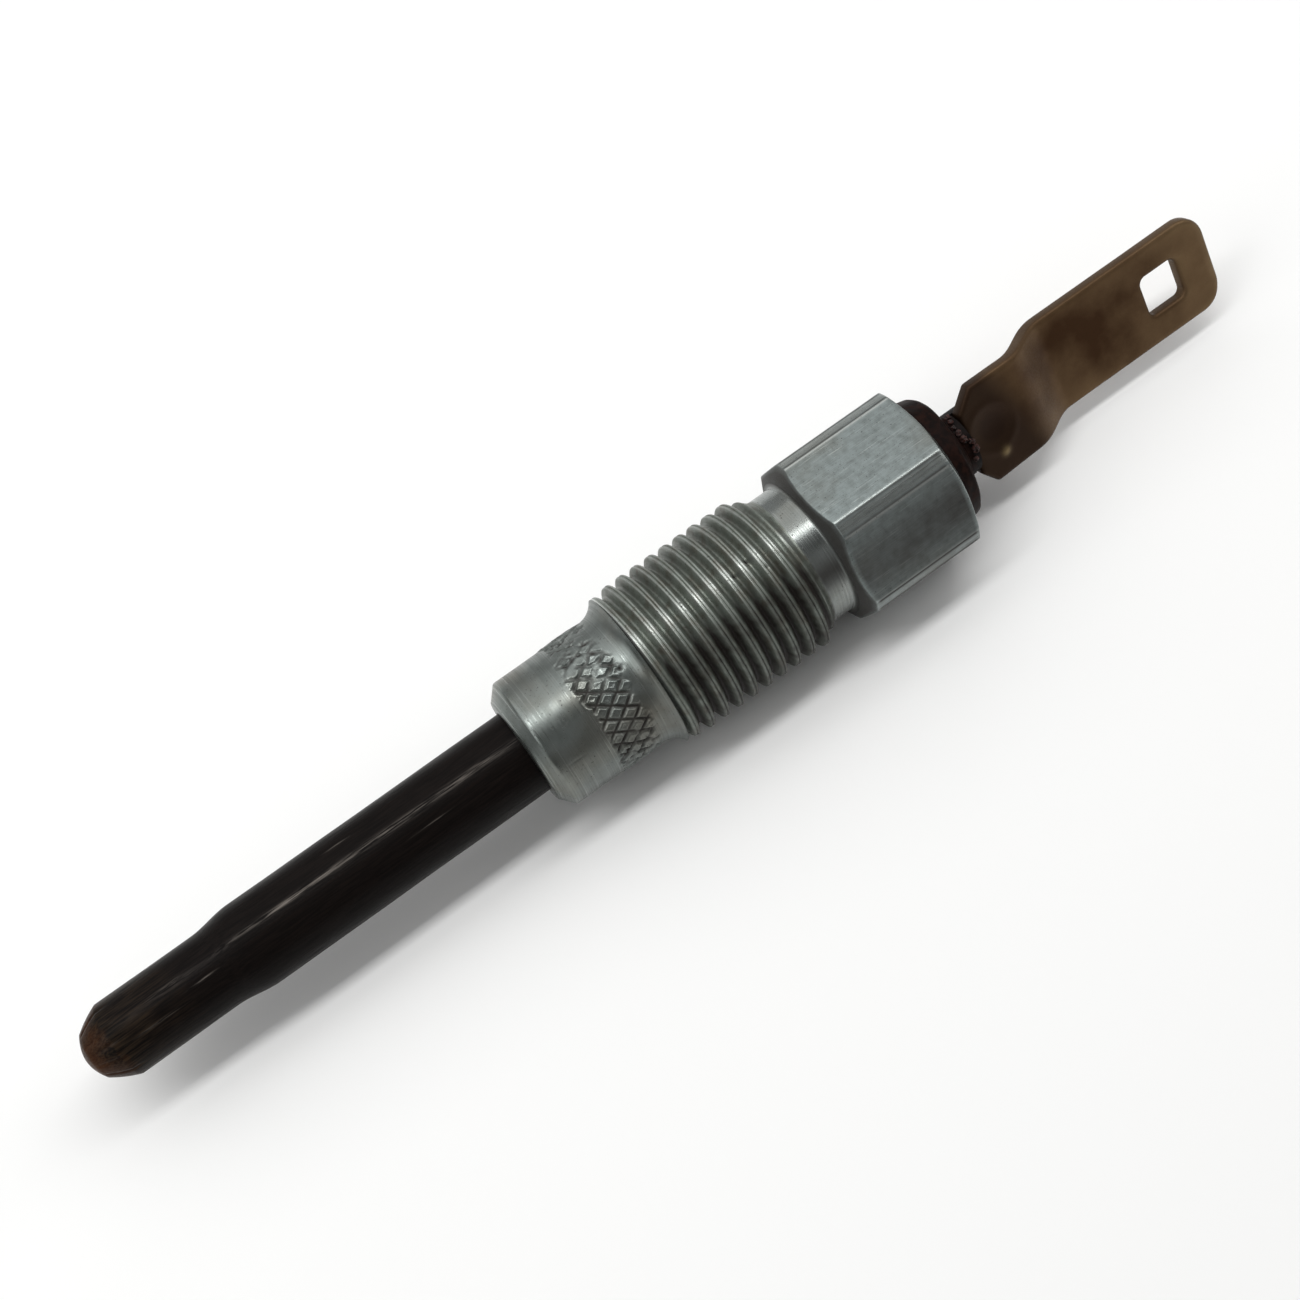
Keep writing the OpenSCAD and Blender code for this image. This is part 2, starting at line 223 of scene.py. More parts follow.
@dataclass(frozen=True)
class ZincPlatedSteel:
    """Mild steel with a satin zinc plate, worn and handled.

    The plate gives a cool grey metal with soft highlights that break up along the tool marks,
    duller blotches where it has greyed, small dark pits, and brown-black grime in grooves.
    The grime colour also paints shade, and the worn colour paints highlights.
    """

    name: str
    marks: Marks
    plate: str = "#7F8582"
    dull: str = "#6B716D"
    film: str = "#6F685B"
    worn: str = "#C3C7C3"
    grime_and_shade: str = "#1B140E"
    # Real tool marks are finer. They are drawn this wide so that they show.
    mark_w: float = 0.07
    mark_depth: float = 0.005
    mark_run: float = 9.0
    scratched: float = 0.25
    blotch_w: float = 0.9
    film_w: float = 4.5
    pit_w: float = 0.16
    pit_from: float = 0.69
    smooth: float = 0.22
    rough: float = 0.38
    metal: float = 1.0
    streak: float = 0.09

    def stretch(self) -> tuple[float, float, float]:
        """Gives the scale of the marks along X, Y and Z.

        Returns:
            Marks per millimetre along each axis.
        """
        if self.marks is Marks.DRAWN:
            return 1 / self.mark_run, 1 / self.mark_w, 1 / self.mark_w
        return 1 / self.mark_w, 1 / self.mark_run, 1 / self.mark_run

    def material(self) -> bpy.types.Material:
        """Makes the material.

        Returns:
            The finished material.
        """
        made, add, place = start_material(self.name)
        along = add("VectorMath", {0: place, 1: self.stretch()}, operation="MULTIPLY")
        marks = add("TexNoise", {"Vector": along, "Scale": 1.0, "Detail": 3.0})
        blotch = add("TexNoise", {"Vector": place, "Scale": 1 / self.blotch_w, "Detail": 6.0})
        blotched = add("MapRange", {0: blotch, 1: 0.4, 2: 0.7, 4: 0.7})
        haze = add("TexNoise", {"Vector": place, "Scale": 1 / self.film_w, "Detail": 4.0})
        hazed = add("MapRange", {0: haze, 1: 0.48, 2: 0.72, 4: 0.6})
        pits = add("TexNoise", {"Vector": place, "Scale": 1 / self.pit_w, "Detail": 1.0})
        pitted = add("MapRange", {0: pits, 1: self.pit_from, 2: self.pit_from + 0.07, 4: 0.7})
        # The grime share holds dirt and painted shade.
        dirt = add("Attribute", attribute_name="grime_and_shade").outputs["Fac"]
        soiled_and_shaded = add("Math", {0: dirt, 1: pitted}, operation="MAXIMUM", use_clamp=True)
        metal = add("Mix", {0: blotched, 6: linear(self.plate), 7: linear(self.dull)}, data_type="RGBA")
        filmed = add("Mix", {0: hazed, 6: metal, 7: linear(self.film)}, data_type="RGBA")
        scored = add("MapRange", {0: marks, 1: 0.35, 2: 0.65, 3: 1 - self.streak, 4: 1 + self.streak / 2})
        lined = add("VectorMath", {0: filmed, 3: scored}, operation="SCALE")
        # The polish share holds polish and painted highlights.
        polish_and_highlight = add("Attribute", attribute_name="polish_and_highlight").outputs["Fac"]
        scratch = add("MapRange", {0: marks, 1: 0.64, 2: 0.72, 4: self.scratched})
        rubbed_and_highlight = add("Math", {0: polish_and_highlight, 1: scratch}, operation="MAXIMUM")
        bright = add("Mix", {0: rubbed_and_highlight, 6: lined, 7: linear(self.worn)}, data_type="RGBA")
        colour = add("Mix", {0: soiled_and_shaded, 6: bright, 7: linear(self.grime_and_shade)}, data_type="RGBA")
        bare = add("MapRange", {0: soiled_and_shaded, 3: self.metal, 4: 0.1})
        gloss = add("MapRange", {0: marks, 1: 0.3, 2: 0.7, 3: self.rough, 4: self.smooth})
        shined = add("Math", {0: rubbed_and_highlight, 1: -0.12, 2: gloss}, operation="MULTIPLY_ADD")
        dulled = add("Math", {0: soiled_and_shaded, 1: 0.3, 2: shined}, operation="MULTIPLY_ADD")
        relief = add("Math", {0: pitted, 1: -0.8, 2: marks}, operation="MULTIPLY_ADD")
        end_material(add, relief, self.mark_depth, {
            "Base Color": colour, "Metallic": bare, "Roughness": dulled})
        return made


@dataclass(frozen=True)
class ScaledSheath:
    """Nickel alloy tube, drawn and swaged, black with oxide scale from the heat.

    The scale gives a near-black brown with a thin broken streak, faint lines along the tube,
    and a brown and rust-red burnt end. The streak is partly rubbed metal, partly a painted highlight.
    """

    tip_x: float
    name: str = "oxidised_nickel_alloy_sheath"
    scale: str = "#0D0A09"
    sheen: str = "#1A1513"
    burnt: str = "#3A2F23"
    rust: str = "#533018"
    bare: str = "#968E86"
    # Real drawing lines are finer. They are drawn this wide so that they show.
    line_w: float = 0.09
    line_run: float = 1.6
    line_depth: float = 0.010
    grain_w: float = 0.16
    cloud_w: float = 1.8
    burnt_len: float = 7.0
    rust_len: float = 2.2
    border_wander: float = 6.0

    def material(self) -> bpy.types.Material:
        """Makes the material.

        Returns:
            The finished material.
        """
        made, add, place = start_material(self.name)
        stretch = (1 / self.line_run, 1 / self.line_w, 1 / self.line_w)
        along = add("VectorMath", {0: place, 1: stretch}, operation="MULTIPLY")
        lines = add("TexNoise", {"Vector": along, "Scale": 1.0, "Detail": 4.0})
        cloud = add("TexNoise", {"Vector": place, "Scale": 1 / self.cloud_w, "Detail": 5.0})
        axis = add("SeparateXYZ", {0: place}).outputs["X"]
        uneven = add("Math", {0: cloud, 1: self.border_wander, 2: axis}, operation="MULTIPLY_ADD")
        middle = self.tip_x + self.border_wander / 2
        heat = add("MapRange", {0: uneven, 1: middle + self.burnt_len, 2: middle})
        rusty = add("MapRange", {0: uneven, 1: middle + self.rust_len, 2: middle - self.rust_len, 4: 0.85})
        streaks = add("MapRange", {0: lines, 1: 0.4, 2: 0.75})
        dark = add("Mix", {0: streaks, 6: linear(self.scale), 7: linear(self.sheen)}, data_type="RGBA")
        scorched = add("Math", {0: heat, 1: streaks}, operation="MULTIPLY")
        brown = add("Mix", {0: scorched, 6: dark, 7: linear(self.burnt)}, data_type="RGBA")
        rusted = add("Mix", {0: rusty, 6: brown, 7: linear(self.rust)}, data_type="RGBA")
        # Bare metal where the scale is rubbed, and a painted highlight along the top streak.
        polish_and_highlight = add("Attribute", attribute_name="polish_and_highlight").outputs["Fac"]
        broken = add("MapRange", {0: lines, 1: 0.42, 2: 0.62})
        rubbed_and_highlight = add("Math", {0: polish_and_highlight, 1: broken}, operation="MULTIPLY")
        colour = add("Mix", {0: rubbed_and_highlight, 6: rusted, 7: linear(self.bare)}, data_type="RGBA")
        gloss = add("MapRange", {0: lines, 1: 0.3, 2: 0.7, 3: 0.5, 4: 0.24})
        grain = add("TexNoise", {"Vector": place, "Scale": 1 / self.grain_w, "Detail": 4.0})
        relief = add("Math", {0: grain, 1: 0.9, 2: lines}, operation="MULTIPLY_ADD")
        end_material(add, relief, self.line_depth, {
            "Base Color": colour, "Metallic": 0.0, "Specular IOR Level": 0.05, "Roughness": gloss})
        return made


@dataclass(frozen=True)
class TarnishedBrassStrip:
    """Brass strip, stamped and formed, brown with heat tarnish.

    Tarnish gives an olive brown with cloudy darker stains, a purple-black burnt patch around
    the weld, and paler metal along the edges. The burnt colour also paints shade along the
    rounded edges, and the pale edge colour paints a glint on the weld's bead.
    """

    name: str = "tarnished_brass_strip"
    brown: str = "#7A6246"
    stain: str = "#3E2712"
    burnt: str = "#2B1C12"
    edge: str = "#94805C"
    cloud_w: float = 2.2
    # The grain of rolled strip is finer. It is drawn this wide so that it shows.
    grain_w: float = 0.10
    grain_depth: float = 0.003

    def material(self) -> bpy.types.Material:
        """Makes the material.

        Returns:
            The finished material.
        """
        made, add, place = start_material(self.name)
        cloud = add("TexNoise", {"Vector": place, "Scale": 1 / self.cloud_w, "Detail": 5.0})
        grain = add("TexNoise", {"Vector": place, "Scale": 1 / self.grain_w, "Detail": 2.0})
        # Scorch also holds painted shade along the rounded edges, and wear a painted glint on the weld's
        # bead.
        stain, scorch_and_shade, wear_and_glint = (
            add("Attribute", attribute_name=name).outputs["Fac"] for name in ("stain", "scorch_and_shade", "wear_and_glint"))
        blotted = add("Math", {0: cloud, 1: 1.0, 2: stain}, operation="MULTIPLY_ADD")
        stained = add("MapRange", {0: blotted, 1: 0.36, 2: 1.3})
        tarnish = add("Mix", {0: stained, 6: linear(self.brown), 7: linear(self.stain)}, data_type="RGBA")
        scorched = add("Mix", {0: scorch_and_shade, 6: tarnish, 7: linear(self.burnt)}, data_type="RGBA")
        colour = add("Mix", {0: wear_and_glint, 6: scorched, 7: linear(self.edge)}, data_type="RGBA")
        gloss = add("MapRange", {0: grain, 1: 0.3, 2: 0.7, 3: 0.38, 4: 0.56})
        end_material(add, grain, self.grain_depth, {
            "Base Color": colour, "Metallic": 0.6, "Specular IOR Level": 0.2, "Roughness": gloss})
        return made


@dataclass(frozen=True)
class SpeckledSolid:
    """A plain solid in two close tones, for moulded, pressed and drawn pieces.

    A fine grain breaks up the colour and the gloss, as moulding, pressing or drawing leaves it.
    """

    name: str
    base: str
    fleck: str
    metallic: float
    roughness: float
    grain_w: float
    grain_depth: float
    specular: float = 0.5
    gloss_swing: float = 0.08

    def material(self) -> bpy.types.Material:
        """Makes the material.

        Returns:
            The finished material.
        """
        made, add, place = start_material(self.name)
        grain = add("TexNoise", {"Vector": place, "Scale": 1 / self.grain_w, "Detail": 3.0})
        flecks = add("MapRange", {0: grain, 1: 0.4, 2: 0.7})
        colour = add("Mix", {0: flecks, 6: linear(self.base), 7: linear(self.fleck)}, data_type="RGBA")
        smooth, rough = self.roughness - self.gloss_swing, self.roughness + self.gloss_swing
        gloss = add("MapRange", {0: grain, 3: smooth, 4: rough})
        end_material(add, grain, self.grain_depth, {
            "Base Color": colour, "Metallic": self.metallic, "Specular IOR Level": self.specular,
            "Roughness": gloss})
        return made


# Moulded skin: a near-black brown with hardly any gloss.
PHENOLIC = SpeckledSolid("moulded_phenolic", "#120A08", "#24140F", 0.0, 0.5, 0.4, 0.02, 0.05)
# Broken faces: redder and paler than the skin, with a rough grain.
BROKEN_RESIN = SpeckledSolid("broken_phenolic_resin", "#1C100E", "#4A2A24", 0.0, 0.55, 0.2, 0.03, 0.3)


def new_piece(
        name: str, points: np.ndarray, faces: list, materials: list, sharp_deg: float) -> bpy.types.Object:
    """Makes a smooth-shaded mesh object.

    Args:
        name: Name of the object.
        points: Points in millimetres, one in each row.
        faces: Point numbers of each face.
        materials: Materials of the object's slots.
        sharp_deg: Edges that bend more than this stay sharp.

    Returns:
        The new object, in the scene.
    """
    mesh = bpy.data.meshes.new(name)
    mesh.from_pydata((points * MM).tolist(), [], faces)
    for made in materials:
        mesh.materials.append(made)
    work = bmesh.new()
    work.from_mesh(mesh)
    bmesh.ops.recalc_face_normals(work, faces=work.faces)
    work.to_mesh(mesh)
    work.free()
    mesh.shade_smooth()
    mesh.set_sharp_from_angle(angle=math.radians(sharp_deg))
    made = bpy.data.objects.new(name, mesh)
    bpy.context.scene.collection.objects.link(made)
    return made


def add_share(piece: bpy.types.Object, name: str, values: np.ndarray) -> None:
    """Stores one number for each point of a piece, for its material to read."""
    layer = piece.data.attributes.new(name, "FLOAT", "POINT")
    layer.data.foreach_set("value", np.clip(values, 0, 1).astype(np.float32))


def hand_over(piece: bpy.types.Object, slot: str, *nodes: str) -> None:
    """Puts a piece on the part's body, in the place of CAD nodes.

    Args:
        piece: The dressed piece.
        slot: The record's material slot; not used.
        nodes: The CAD nodes that it stands for.
    """
    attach(piece, BODY)
    for node in nodes:
        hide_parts(node)
    log.info("%s: %d faces for %s", piece.name, len(piece.data.polygons), nodes or "no node")


@dataclass
class Row:
    """One ring of points around the axis, given column by column."""

    x: np.ndarray | float
    r: np.ndarray | float
    zone: int = 0
    grime_and_shade: np.ndarray | float = 0.0
    polish_and_highlight: np.ndarray | float = 0.0


@dataclass(frozen=True)
class Nick:
    """A small dent in the surface of a turned piece."""

    x: float
    turn_deg: float
    size: float
    depth: float


@dataclass(frozen=True)
class BrightMark:
    """A bright mark along a turned piece, rubbed bright, in places with a painted highlight."""

    x: float
    turn_deg: float
    reach: float
    width: float
    strength: float


@dataclass
class TurnedPiece:
    """A piece built as rows of points around the X axis."""

    column_count: int = 144
    nicks: tuple[Nick, ...] = ()
    dirt_depth: float = 0.12

    def columns(self) -> np.ndarray:
        """Gives the angles of the columns, from straight down and once around."""
        return np.radians(np.linspace(-90, 270, self.column_count + 1))

    def rows(self, phi: np.ndarray) -> list[Row]:
        """Gives the rings of the piece in order, the last of which joins the first."""
        raise NotImplementedError

    def shifts(self, points: np.ndarray, phi: np.ndarray) -> np.ndarray:
        """Gives how far each point moves away from the axis."""
        return np.zeros(len(points))

    def dents(self, points: np.ndarray, phi: np.ndarray) -> np.ndarray:
        """Gives how far the nicks move each point away from the axis.

        Args:
            points: Points in millimetres, one in each row.
            phi: Their angles around the axis.

        Returns:
            One distance for each point.
        """
        moved = np.zeros(len(points))
        radius = np.hypot(points[:, 1], points[:, 2])
        for nick in self.nicks:
            gap = np.hypot(points[:, 0] - nick.x, radius * turned_apart(phi, nick.turn_deg)) / nick.size
            moved -= nick.depth * np.exp(-gap ** 2)
        return moved

    def mesh(self, name: str, materials: list, sharp_deg: float) -> bpy.types.Object:
        """Makes the mesh of all rows, with points that coincide joined.

        Args:
            name: Name of the object.
            materials: Materials by zone number.
            sharp_deg: Edges that bend more than this stay sharp.

        Returns:
            The new object, with a share of grime and painted shade and a share of polish and
            painted highlights on its points.
        """
        phi = self.columns()
        rows = self.rows(phi)
        x, r, grime_and_shade, polish_and_highlight = (
            np.array([np.broadcast_to(getattr(row, part), phi.shape) for row in rows])
            for part in ("x", "r", "grime_and_shade", "polish_and_highlight"))
        around = np.broadcast_to(phi, x.shape)
        points = ring_points(x, r, around).reshape(-1, 3)
        dents = self.dents(points, around.ravel())
        moved = self.shifts(points, around.ravel()) + dents
        grime_and_shade = np.maximum(grime_and_shade.ravel(), -dents / self.dirt_depth)
        radius = np.maximum(r.ravel(), 1e-6)
        points[:, 1:] *= ((radius + moved) / radius)[:, None]
        keys = np.round(points / WELD_MM).astype(np.int64)
        _, first, index = np.unique(keys, axis=0, return_index=True, return_inverse=True)
        index = index.reshape(len(rows), len(phi))
        faces, zones = [], []
        for i, row in enumerate(rows):
            near, far = index[i - 1], index[i]
            for a, b, c, d in zip(near[:-1], near[1:], far[1:], far[:-1]):
                ring = [p for p, before in ((a, d), (b, a), (c, b), (d, c)) if p != before]
                if len(set(ring)) == len(ring) > 2:
                    faces.append([int(p) for p in ring])
                    zones.append(row.zone)
        piece = new_piece(name, points[first], faces, materials, sharp_deg)
        piece.data.polygons.foreach_set("material_index", zones)
        add_share(piece, "grime_and_shade", grime_and_shade[first])
        add_share(piece, "polish_and_highlight", polish_and_highlight.ravel()[first])
        return piece


@dataclass(frozen=True)
class HousingSizes:
    """Sizes that the dressed pieces of the housing share."""

    nose_d: float = 8.16
    nose_len: float = 6.5
    seat_face_d: float = 6.4
    seat_len: float = 0.75
    fillet_end_x: float = 7.84
    fillet_end_r: float = 4.8
    tube_bore_d: float = 5.1
    seal_bore_d: float = 6.6
    seal_bore_len: float = 4.4

    @property
    def end_x(self) -> float:
        """Gives the terminal end of the hexagon."""
        return float(node_span("housing")[1][0])

    @property
    def hex_half(self) -> float:
        """Gives half the width across the flats."""
        return float(node_span("housing")[1][2])

    @property
    def corner_r(self) -> float:
        """Gives the radius to which the hexagon's corners are turned."""
        return float(node_span("housing")[1][1])


@dataclass
class HousingNose(TurnedPiece):
    """Plain end of the housing: conical seat, turned nose, knurled band and fillet."""

    sizes: HousingSizes = HousingSizes()
    column_count: int = 520
    fillet_bow: float = 0.2
    knurl_from: float = 3.75
    knurl_to: float = 6.65
    knurl_rows: int = 60
    knurl_count: int = 28
    knurl_angle: float = 35.0
    knurl_depth: float = 0.10
    knurl_rise: float = 0.025
    knurl_burr: float = 0.03
    groove_floor: float = 0.05
    groove_side: float = 0.13
    burr_gap: float = 0.03
    burr_w: float = 0.06
    lead_in: float = 0.35
    lead_out: float = 0.5
    ragged: float = 0.3
    wander: float = 0.07
    broken_wander: float = 0.3
    press_swing: float = 0.7
    press_size: tuple[float, float, float] = (1.2, 2.0, 2.0)
    broken_loss: float = 0.4
    broken_swing: float = 1.3
    least_pressed: float = 0.05
    most_pressed: float = 1.3
    uneven: float = 0.005
    broken_above: Band = Band(70, 1.0, 0.6)
    broken_below: Band = Band(185, 1.0, 0.45)
    # Darker on the lower side: thin dirt and painted shade. Darker on top: painted shade.
    lower_dirt_and_shade: Side = Side(190, 0.2, 0.3, 0.5)
    upper_painted_shade: Side = Side(45, 0.14, 0.6, 0.3)
    nicks: tuple[Nick, ...] = (
        Nick(6.6, 108.6, 0.13, 0.13),
        Nick(4.55, 170, 0.15, 0.13),
        Nick(4.6, 183, 0.17, 0.14),
        Nick(5.4, 176, 0.11, 0.09),
        Nick(4.9, 72, 0.13, 0.10),
        Nick(5.5, 61, 0.16, 0.09),
        Nick(4.4, 52, 0.14, 0.10),
        Nick(1.9, 148, 0.07, 0.03),
        Nick(2.9, 85, 0.06, 0.03),
    )

    def seat_rows(self) -> list[Row]:
        """Gives the rings of the bore, the end face and the conical seat.

        Returns:
            Rings in order up to the nose.
        """
        sizes = self.sizes
        nose_r, face_r, bore_r = sizes.nose_d / 2, sizes.seat_face_d / 2, sizes.tube_bore_d / 2
        seat_len = sizes.seat_len
        slope = (nose_r - face_r) / seat_len
        # Small steps round the edges of the bore, the face and the seat.
        return [Row(x, r) for x, r in (
            (sizes.fillet_end_x, bore_r), (0.12, bore_r), (0.0, bore_r + 0.08),
            (0.0, face_r - 0.10), (0.012, face_r - 0.03), (0.05, face_r + 0.05 * slope + 0.02),
            (0.2, face_r + 0.2 * slope), (0.45, face_r + 0.45 * slope),
            (seat_len - 0.10, nose_r - 0.10 * slope - 0.005), (seat_len - 0.03, nose_r - 0.045),
            (seat_len + 0.04, nose_r - 0.012), (seat_len + 0.14, nose_r),
        )]

    def knurled_rows(self, phi: np.ndarray) -> list[Row]:
        """Gives the rings of the knurl: two sets of pressed grooves that leave raised pads.

        Args:
            phi: Angles of the columns.

        Returns:
            Rings in order towards the thread.
        """
        nose_r = self.sizes.nose_d / 2
        slant = math.radians(self.knurl_angle)
        around = self.knurl_count * phi / (2 * math.pi)
        pitch = 2 * math.pi * nose_r / self.knurl_count
        broken = np.maximum(self.broken_above.at(phi), self.broken_below.at(phi))
        rows = []
        for x in np.linspace(self.knurl_from, self.knurl_to, self.knurl_rows):
            place = ring_points(x, nose_r, phi)
            warp = self.wander * ripple(place, 1.1, 3) + self.broken_wander * broken * ripple(place, 0.55, 4)
            pressed = 1.0 + self.press_swing * ripple(place, self.press_size, 5) - self.broken_loss * broken
            pressed += self.broken_swing * broken * ripple(place, 0.4, 6)
            pressed = np.clip(pressed, self.least_pressed, self.most_pressed)
            ragged = self.ragged * ripple(place, 0.7, 7)
            inside = ease((x - self.knurl_from + ragged) / self.lead_in)
            inside = inside * ease((self.knurl_to - x + ragged) / self.lead_out)
            groove, floor, burr = np.zeros_like(phi), np.zeros_like(phi), np.zeros_like(phi)
            for way in (1, -1):
                at = around + way * (x - self.knurl_from) * math.tan(slant) / pitch + warp
                off = np.abs(at - np.round(at)) * pitch * math.cos(slant)
                groove = np.maximum(groove, 1 - ease((off - self.groove_floor) / self.groove_side))
                floor = np.maximum(floor, np.exp(-(off / (1.8 * self.groove_floor)) ** 2))
                rim = self.groove_floor + self.groove_side + self.burr_gap
                burr = np.maximum(burr, np.exp(-((off - rim) / self.burr_w) ** 2))
            rise = (self.knurl_rise + self.knurl_burr * burr) * (1 - groove) - self.knurl_depth * groove
            dirt = floor * np.minimum(pressed, 1) * inside + self.soil_and_shade(phi)
            rows.append(Row(x, nose_r + rise * pressed * inside, 0, dirt))
        return rows

    def soil_and_shade(self, phi: np.ndarray) -> np.ndarray:
        """Gives the thin dirt and painted shade on the lower side, and the painted shade on top."""
        return self.lower_dirt_and_shade.at(phi) + self.upper_painted_shade.at(phi)

    def fillet_rows(self, phi: np.ndarray) -> list[Row]:
        """Gives the rings of the hollow fillet up to the thread.

        Args:
            phi: Angles of the columns.

        Returns:
            Rings in order towards the thread.
        """
        nose_r = self.sizes.nose_d / 2
        rise, run = self.sizes.fillet_end_r - nose_r, self.sizes.fillet_end_x - self.sizes.nose_len
        length = math.hypot(rise, run)
        rows = []
        for share in np.linspace(0.14, 1, 13):
            bow = 4 * self.fillet_bow * share * (1 - share)
            rows.append(Row(
                self.sizes.nose_len + run * share + bow * rise / length,
                nose_r + rise * share - bow * run / length, 0, self.soil_and_shade(phi)))
        return rows

    def rows(self, phi: np.ndarray) -> list[Row]:
        """Gives all rings of the nose.

        Args:
            phi: Angles of the columns.

        Returns:
            Rings in order from the bore, over the seat, to the end of the fillet.
        """
        plain = np.linspace(self.sizes.seat_len + 0.5, self.knurl_from - 0.1, 8)
        turned = [Row(x, self.sizes.nose_d / 2, 0, self.soil_and_shade(phi)) for x in plain]
        return self.seat_rows() + turned + self.knurled_rows(phi) + self.fillet_rows(phi)

    def shifts(self, points: np.ndarray, phi: np.ndarray) -> np.ndarray:
        """Gives the slight unevenness of the turned surface."""
        outer = np.hypot(points[:, 1], points[:, 2]) > self.sizes.tube_bore_d / 2 + 0.1
        return self.uneven * ripple(points, 1.2, 11) * outer

    def build(self) -> bpy.types.Object:
        """Builds and dresses the nose.

        Returns:
            The finished piece.
        """
        finish = ZincPlatedSteel(
            "turned_zinc_plated_steel", Marks.TURNED, pit_w=0.12, pit_from=0.67, smooth=0.26, rough=0.42)
        piece = self.mesh("plug_nose", [finish.material()], 45)
        hand_over(piece, "plated_steel", "housing")
        return piece


class Zone(IntEnum):
    """Part of the housing's body with a finish of its own, by its material slot."""

    ROLLED = 0
    FACED = 1
    DRAWN = 2


@dataclass
class HousingBody(TurnedPiece):
    """Threaded part of the housing, with the shank and the hexagon."""

    sizes: HousingSizes = HousingSizes()
    thread_d: float = 9.92
    thread_pitch: float = 1.0
    thread_depth: float = 0.61
    thread_phase: float = 0.31
    crest_lead: float = 1.5
    root_lead: float = 1.2
    crest_runout: float = 0.95
    runout_swing: float = 0.3
    runout_deg: float = 28.0
    root_runout: float = 0.6
    grit_size: tuple[float, float, float] = (0.25, 0.45, 0.45)
    root_dirt: float = 0.22
    # On the lower side the roots and flanks darken: dirt, and painted shade.
    lower_root_dirt_and_shade: float = 0.68
    lower_flank_dirt_and_shade: float = 0.38
    grit_dirt: float = 0.3
    # Dirt and shade fade out near the start, where a painted highlight rings the thread.
    clean_lead: float = 1.0
    start_highlight_len: float = 0.15
    shank_x: float = 18.5
    shank_d: float = 8.3
    hex_x: float = 19.95
    hex_base_d: float = 9.0
    hex_base_len: float = 0.55
    hex_end_d: float = 8.4
    hex_end_len: float = 0.55
    hex_round: float = 0.05
    edge_soft: float = 0.04
    edge_sink: float = 0.016
    edge_rub_w: float = 0.013
    uneven: float = 0.004
    thread_uneven: float = 0.012
    # The lower side of the thread darkens: dirt, and painted shade.
    lower_thread: Side = Side(185, 1.0, 0.2, 0.6)
    # Painted highlight along the overhead light's line.
    glint: Band = Band(101, 1.0, 0.13)
    # Dull film: partly dirt, partly painted shade. The band at 136 degrees is a painted dark reflection.
    thread_film_and_shade: tuple[Side | Band, ...] = (
        Side(195, 0.25, 0.8, 0.19), Band(136, 0.32, 0.25), Side(20, 0.28, 0.3, 0.5))
    # Painted dark reflection in a band along the shank.
    shank_dark_reflection: Band = Band(142, 0.85, 0.24)
    # Darker lower flats: painted shade, mottled with dirt.
    lower_hex: Side = Side(185, 1.0, 0.35, 0.5)
    hex_dirt_and_shade: float = 0.64
    hex_end_dirt_and_shade: float = 0.16
    hex_cloud: float = 0.12
    hex_haze: float = 0.09
    lighter_from_deg: float = 150.0
    corner_line: float = 0.7
    corner_strip: float = 0.38
    # Painted shade that dulls the rubbed strips on the lower side.
    shaded_lower_strips: Side = Side(200, 0.7, 0.5, 0.3)
    # Share of the pitch, height, dirt and shine of each ring of the thread. The dip is the seam.
    profile: tuple[tuple[float, float, float, float], ...] = (
        (0.00, 0.00, 1.00, 0.0), (0.07, 0.04, 0.75, 0.0), (0.15, 0.26, 0.25, 0.0),
        (0.23, 0.60, 0.05, 0.0), (0.30, 0.87, 0.00, 0.0), (0.35, 0.98, 0.00, 0.4),
        (0.40, 1.00, 0.00, 0.1), (0.45, 0.98, 0.10, 0.0), (0.485, 0.90, 0.55, 0.0),
        (0.52, 0.98, 0.10, 0.0), (0.57, 1.00, 0.00, 0.2), (0.62, 0.97, 0.00, 0.2),
        (0.68, 0.84, 0.00, 0.0), (0.76, 0.54, 0.10, 0.0), (0.84, 0.22, 0.35, 0.0),
        (0.92, 0.03, 0.85, 0.0))
    nicks: tuple[Nick, ...] = (
        Nick(15.53, 99.1, 0.12, 0.16),
        Nick(14.51, 103.5, 0.12, 0.16),
        Nick(13.5, 107.2, 0.08, 0.10),
        Nick(16.22, 111.9, 0.07, 0.08),
        Nick(27.4, 150.5, 0.12, 0.12),
        Nick(25.9, 79.5, 0.06, 0.04),
        Nick(23.64, 86.5, 0.07, 0.04),
        Nick(27.2, 91.1, 0.06, 0.04),
    )

    @property
    def edge_deg(self) -> float:
        """Gives the angle between the middle of a flat and the edge of its turned-down corner."""
        return math.degrees(math.acos(self.sizes.hex_half / self.sizes.corner_r))

    def off_flat(self, phi: np.ndarray) -> np.ndarray:
        """Gives the angle in degrees between columns and the middle of the nearest flat."""
        off = np.mod(np.degrees(phi) + 90, 60)
        return np.minimum(off, 60 - off)

    def columns(self) -> np.ndarray:
        """Gives the angles of the columns, closer together at the edges of the hexagon.

        Returns:
            Angles in radians, from straight down and once around.
        """
        edge = self.edge_deg
        near = np.array([-0.9, -0.45, -0.15, 0.15, 0.45, 0.8, 1.2])
        half = np.concatenate([
            np.linspace(0, edge - 1.8, 20), edge + near, np.linspace(edge + 1.9, 30, 4)])
        sextant = np.concatenate([half, (60 - half[::-1])[1:-1]])
        turn = np.concatenate([sextant + 60 * k for k in range(6)] + [[360.0]])
        return np.radians(turn - 90)

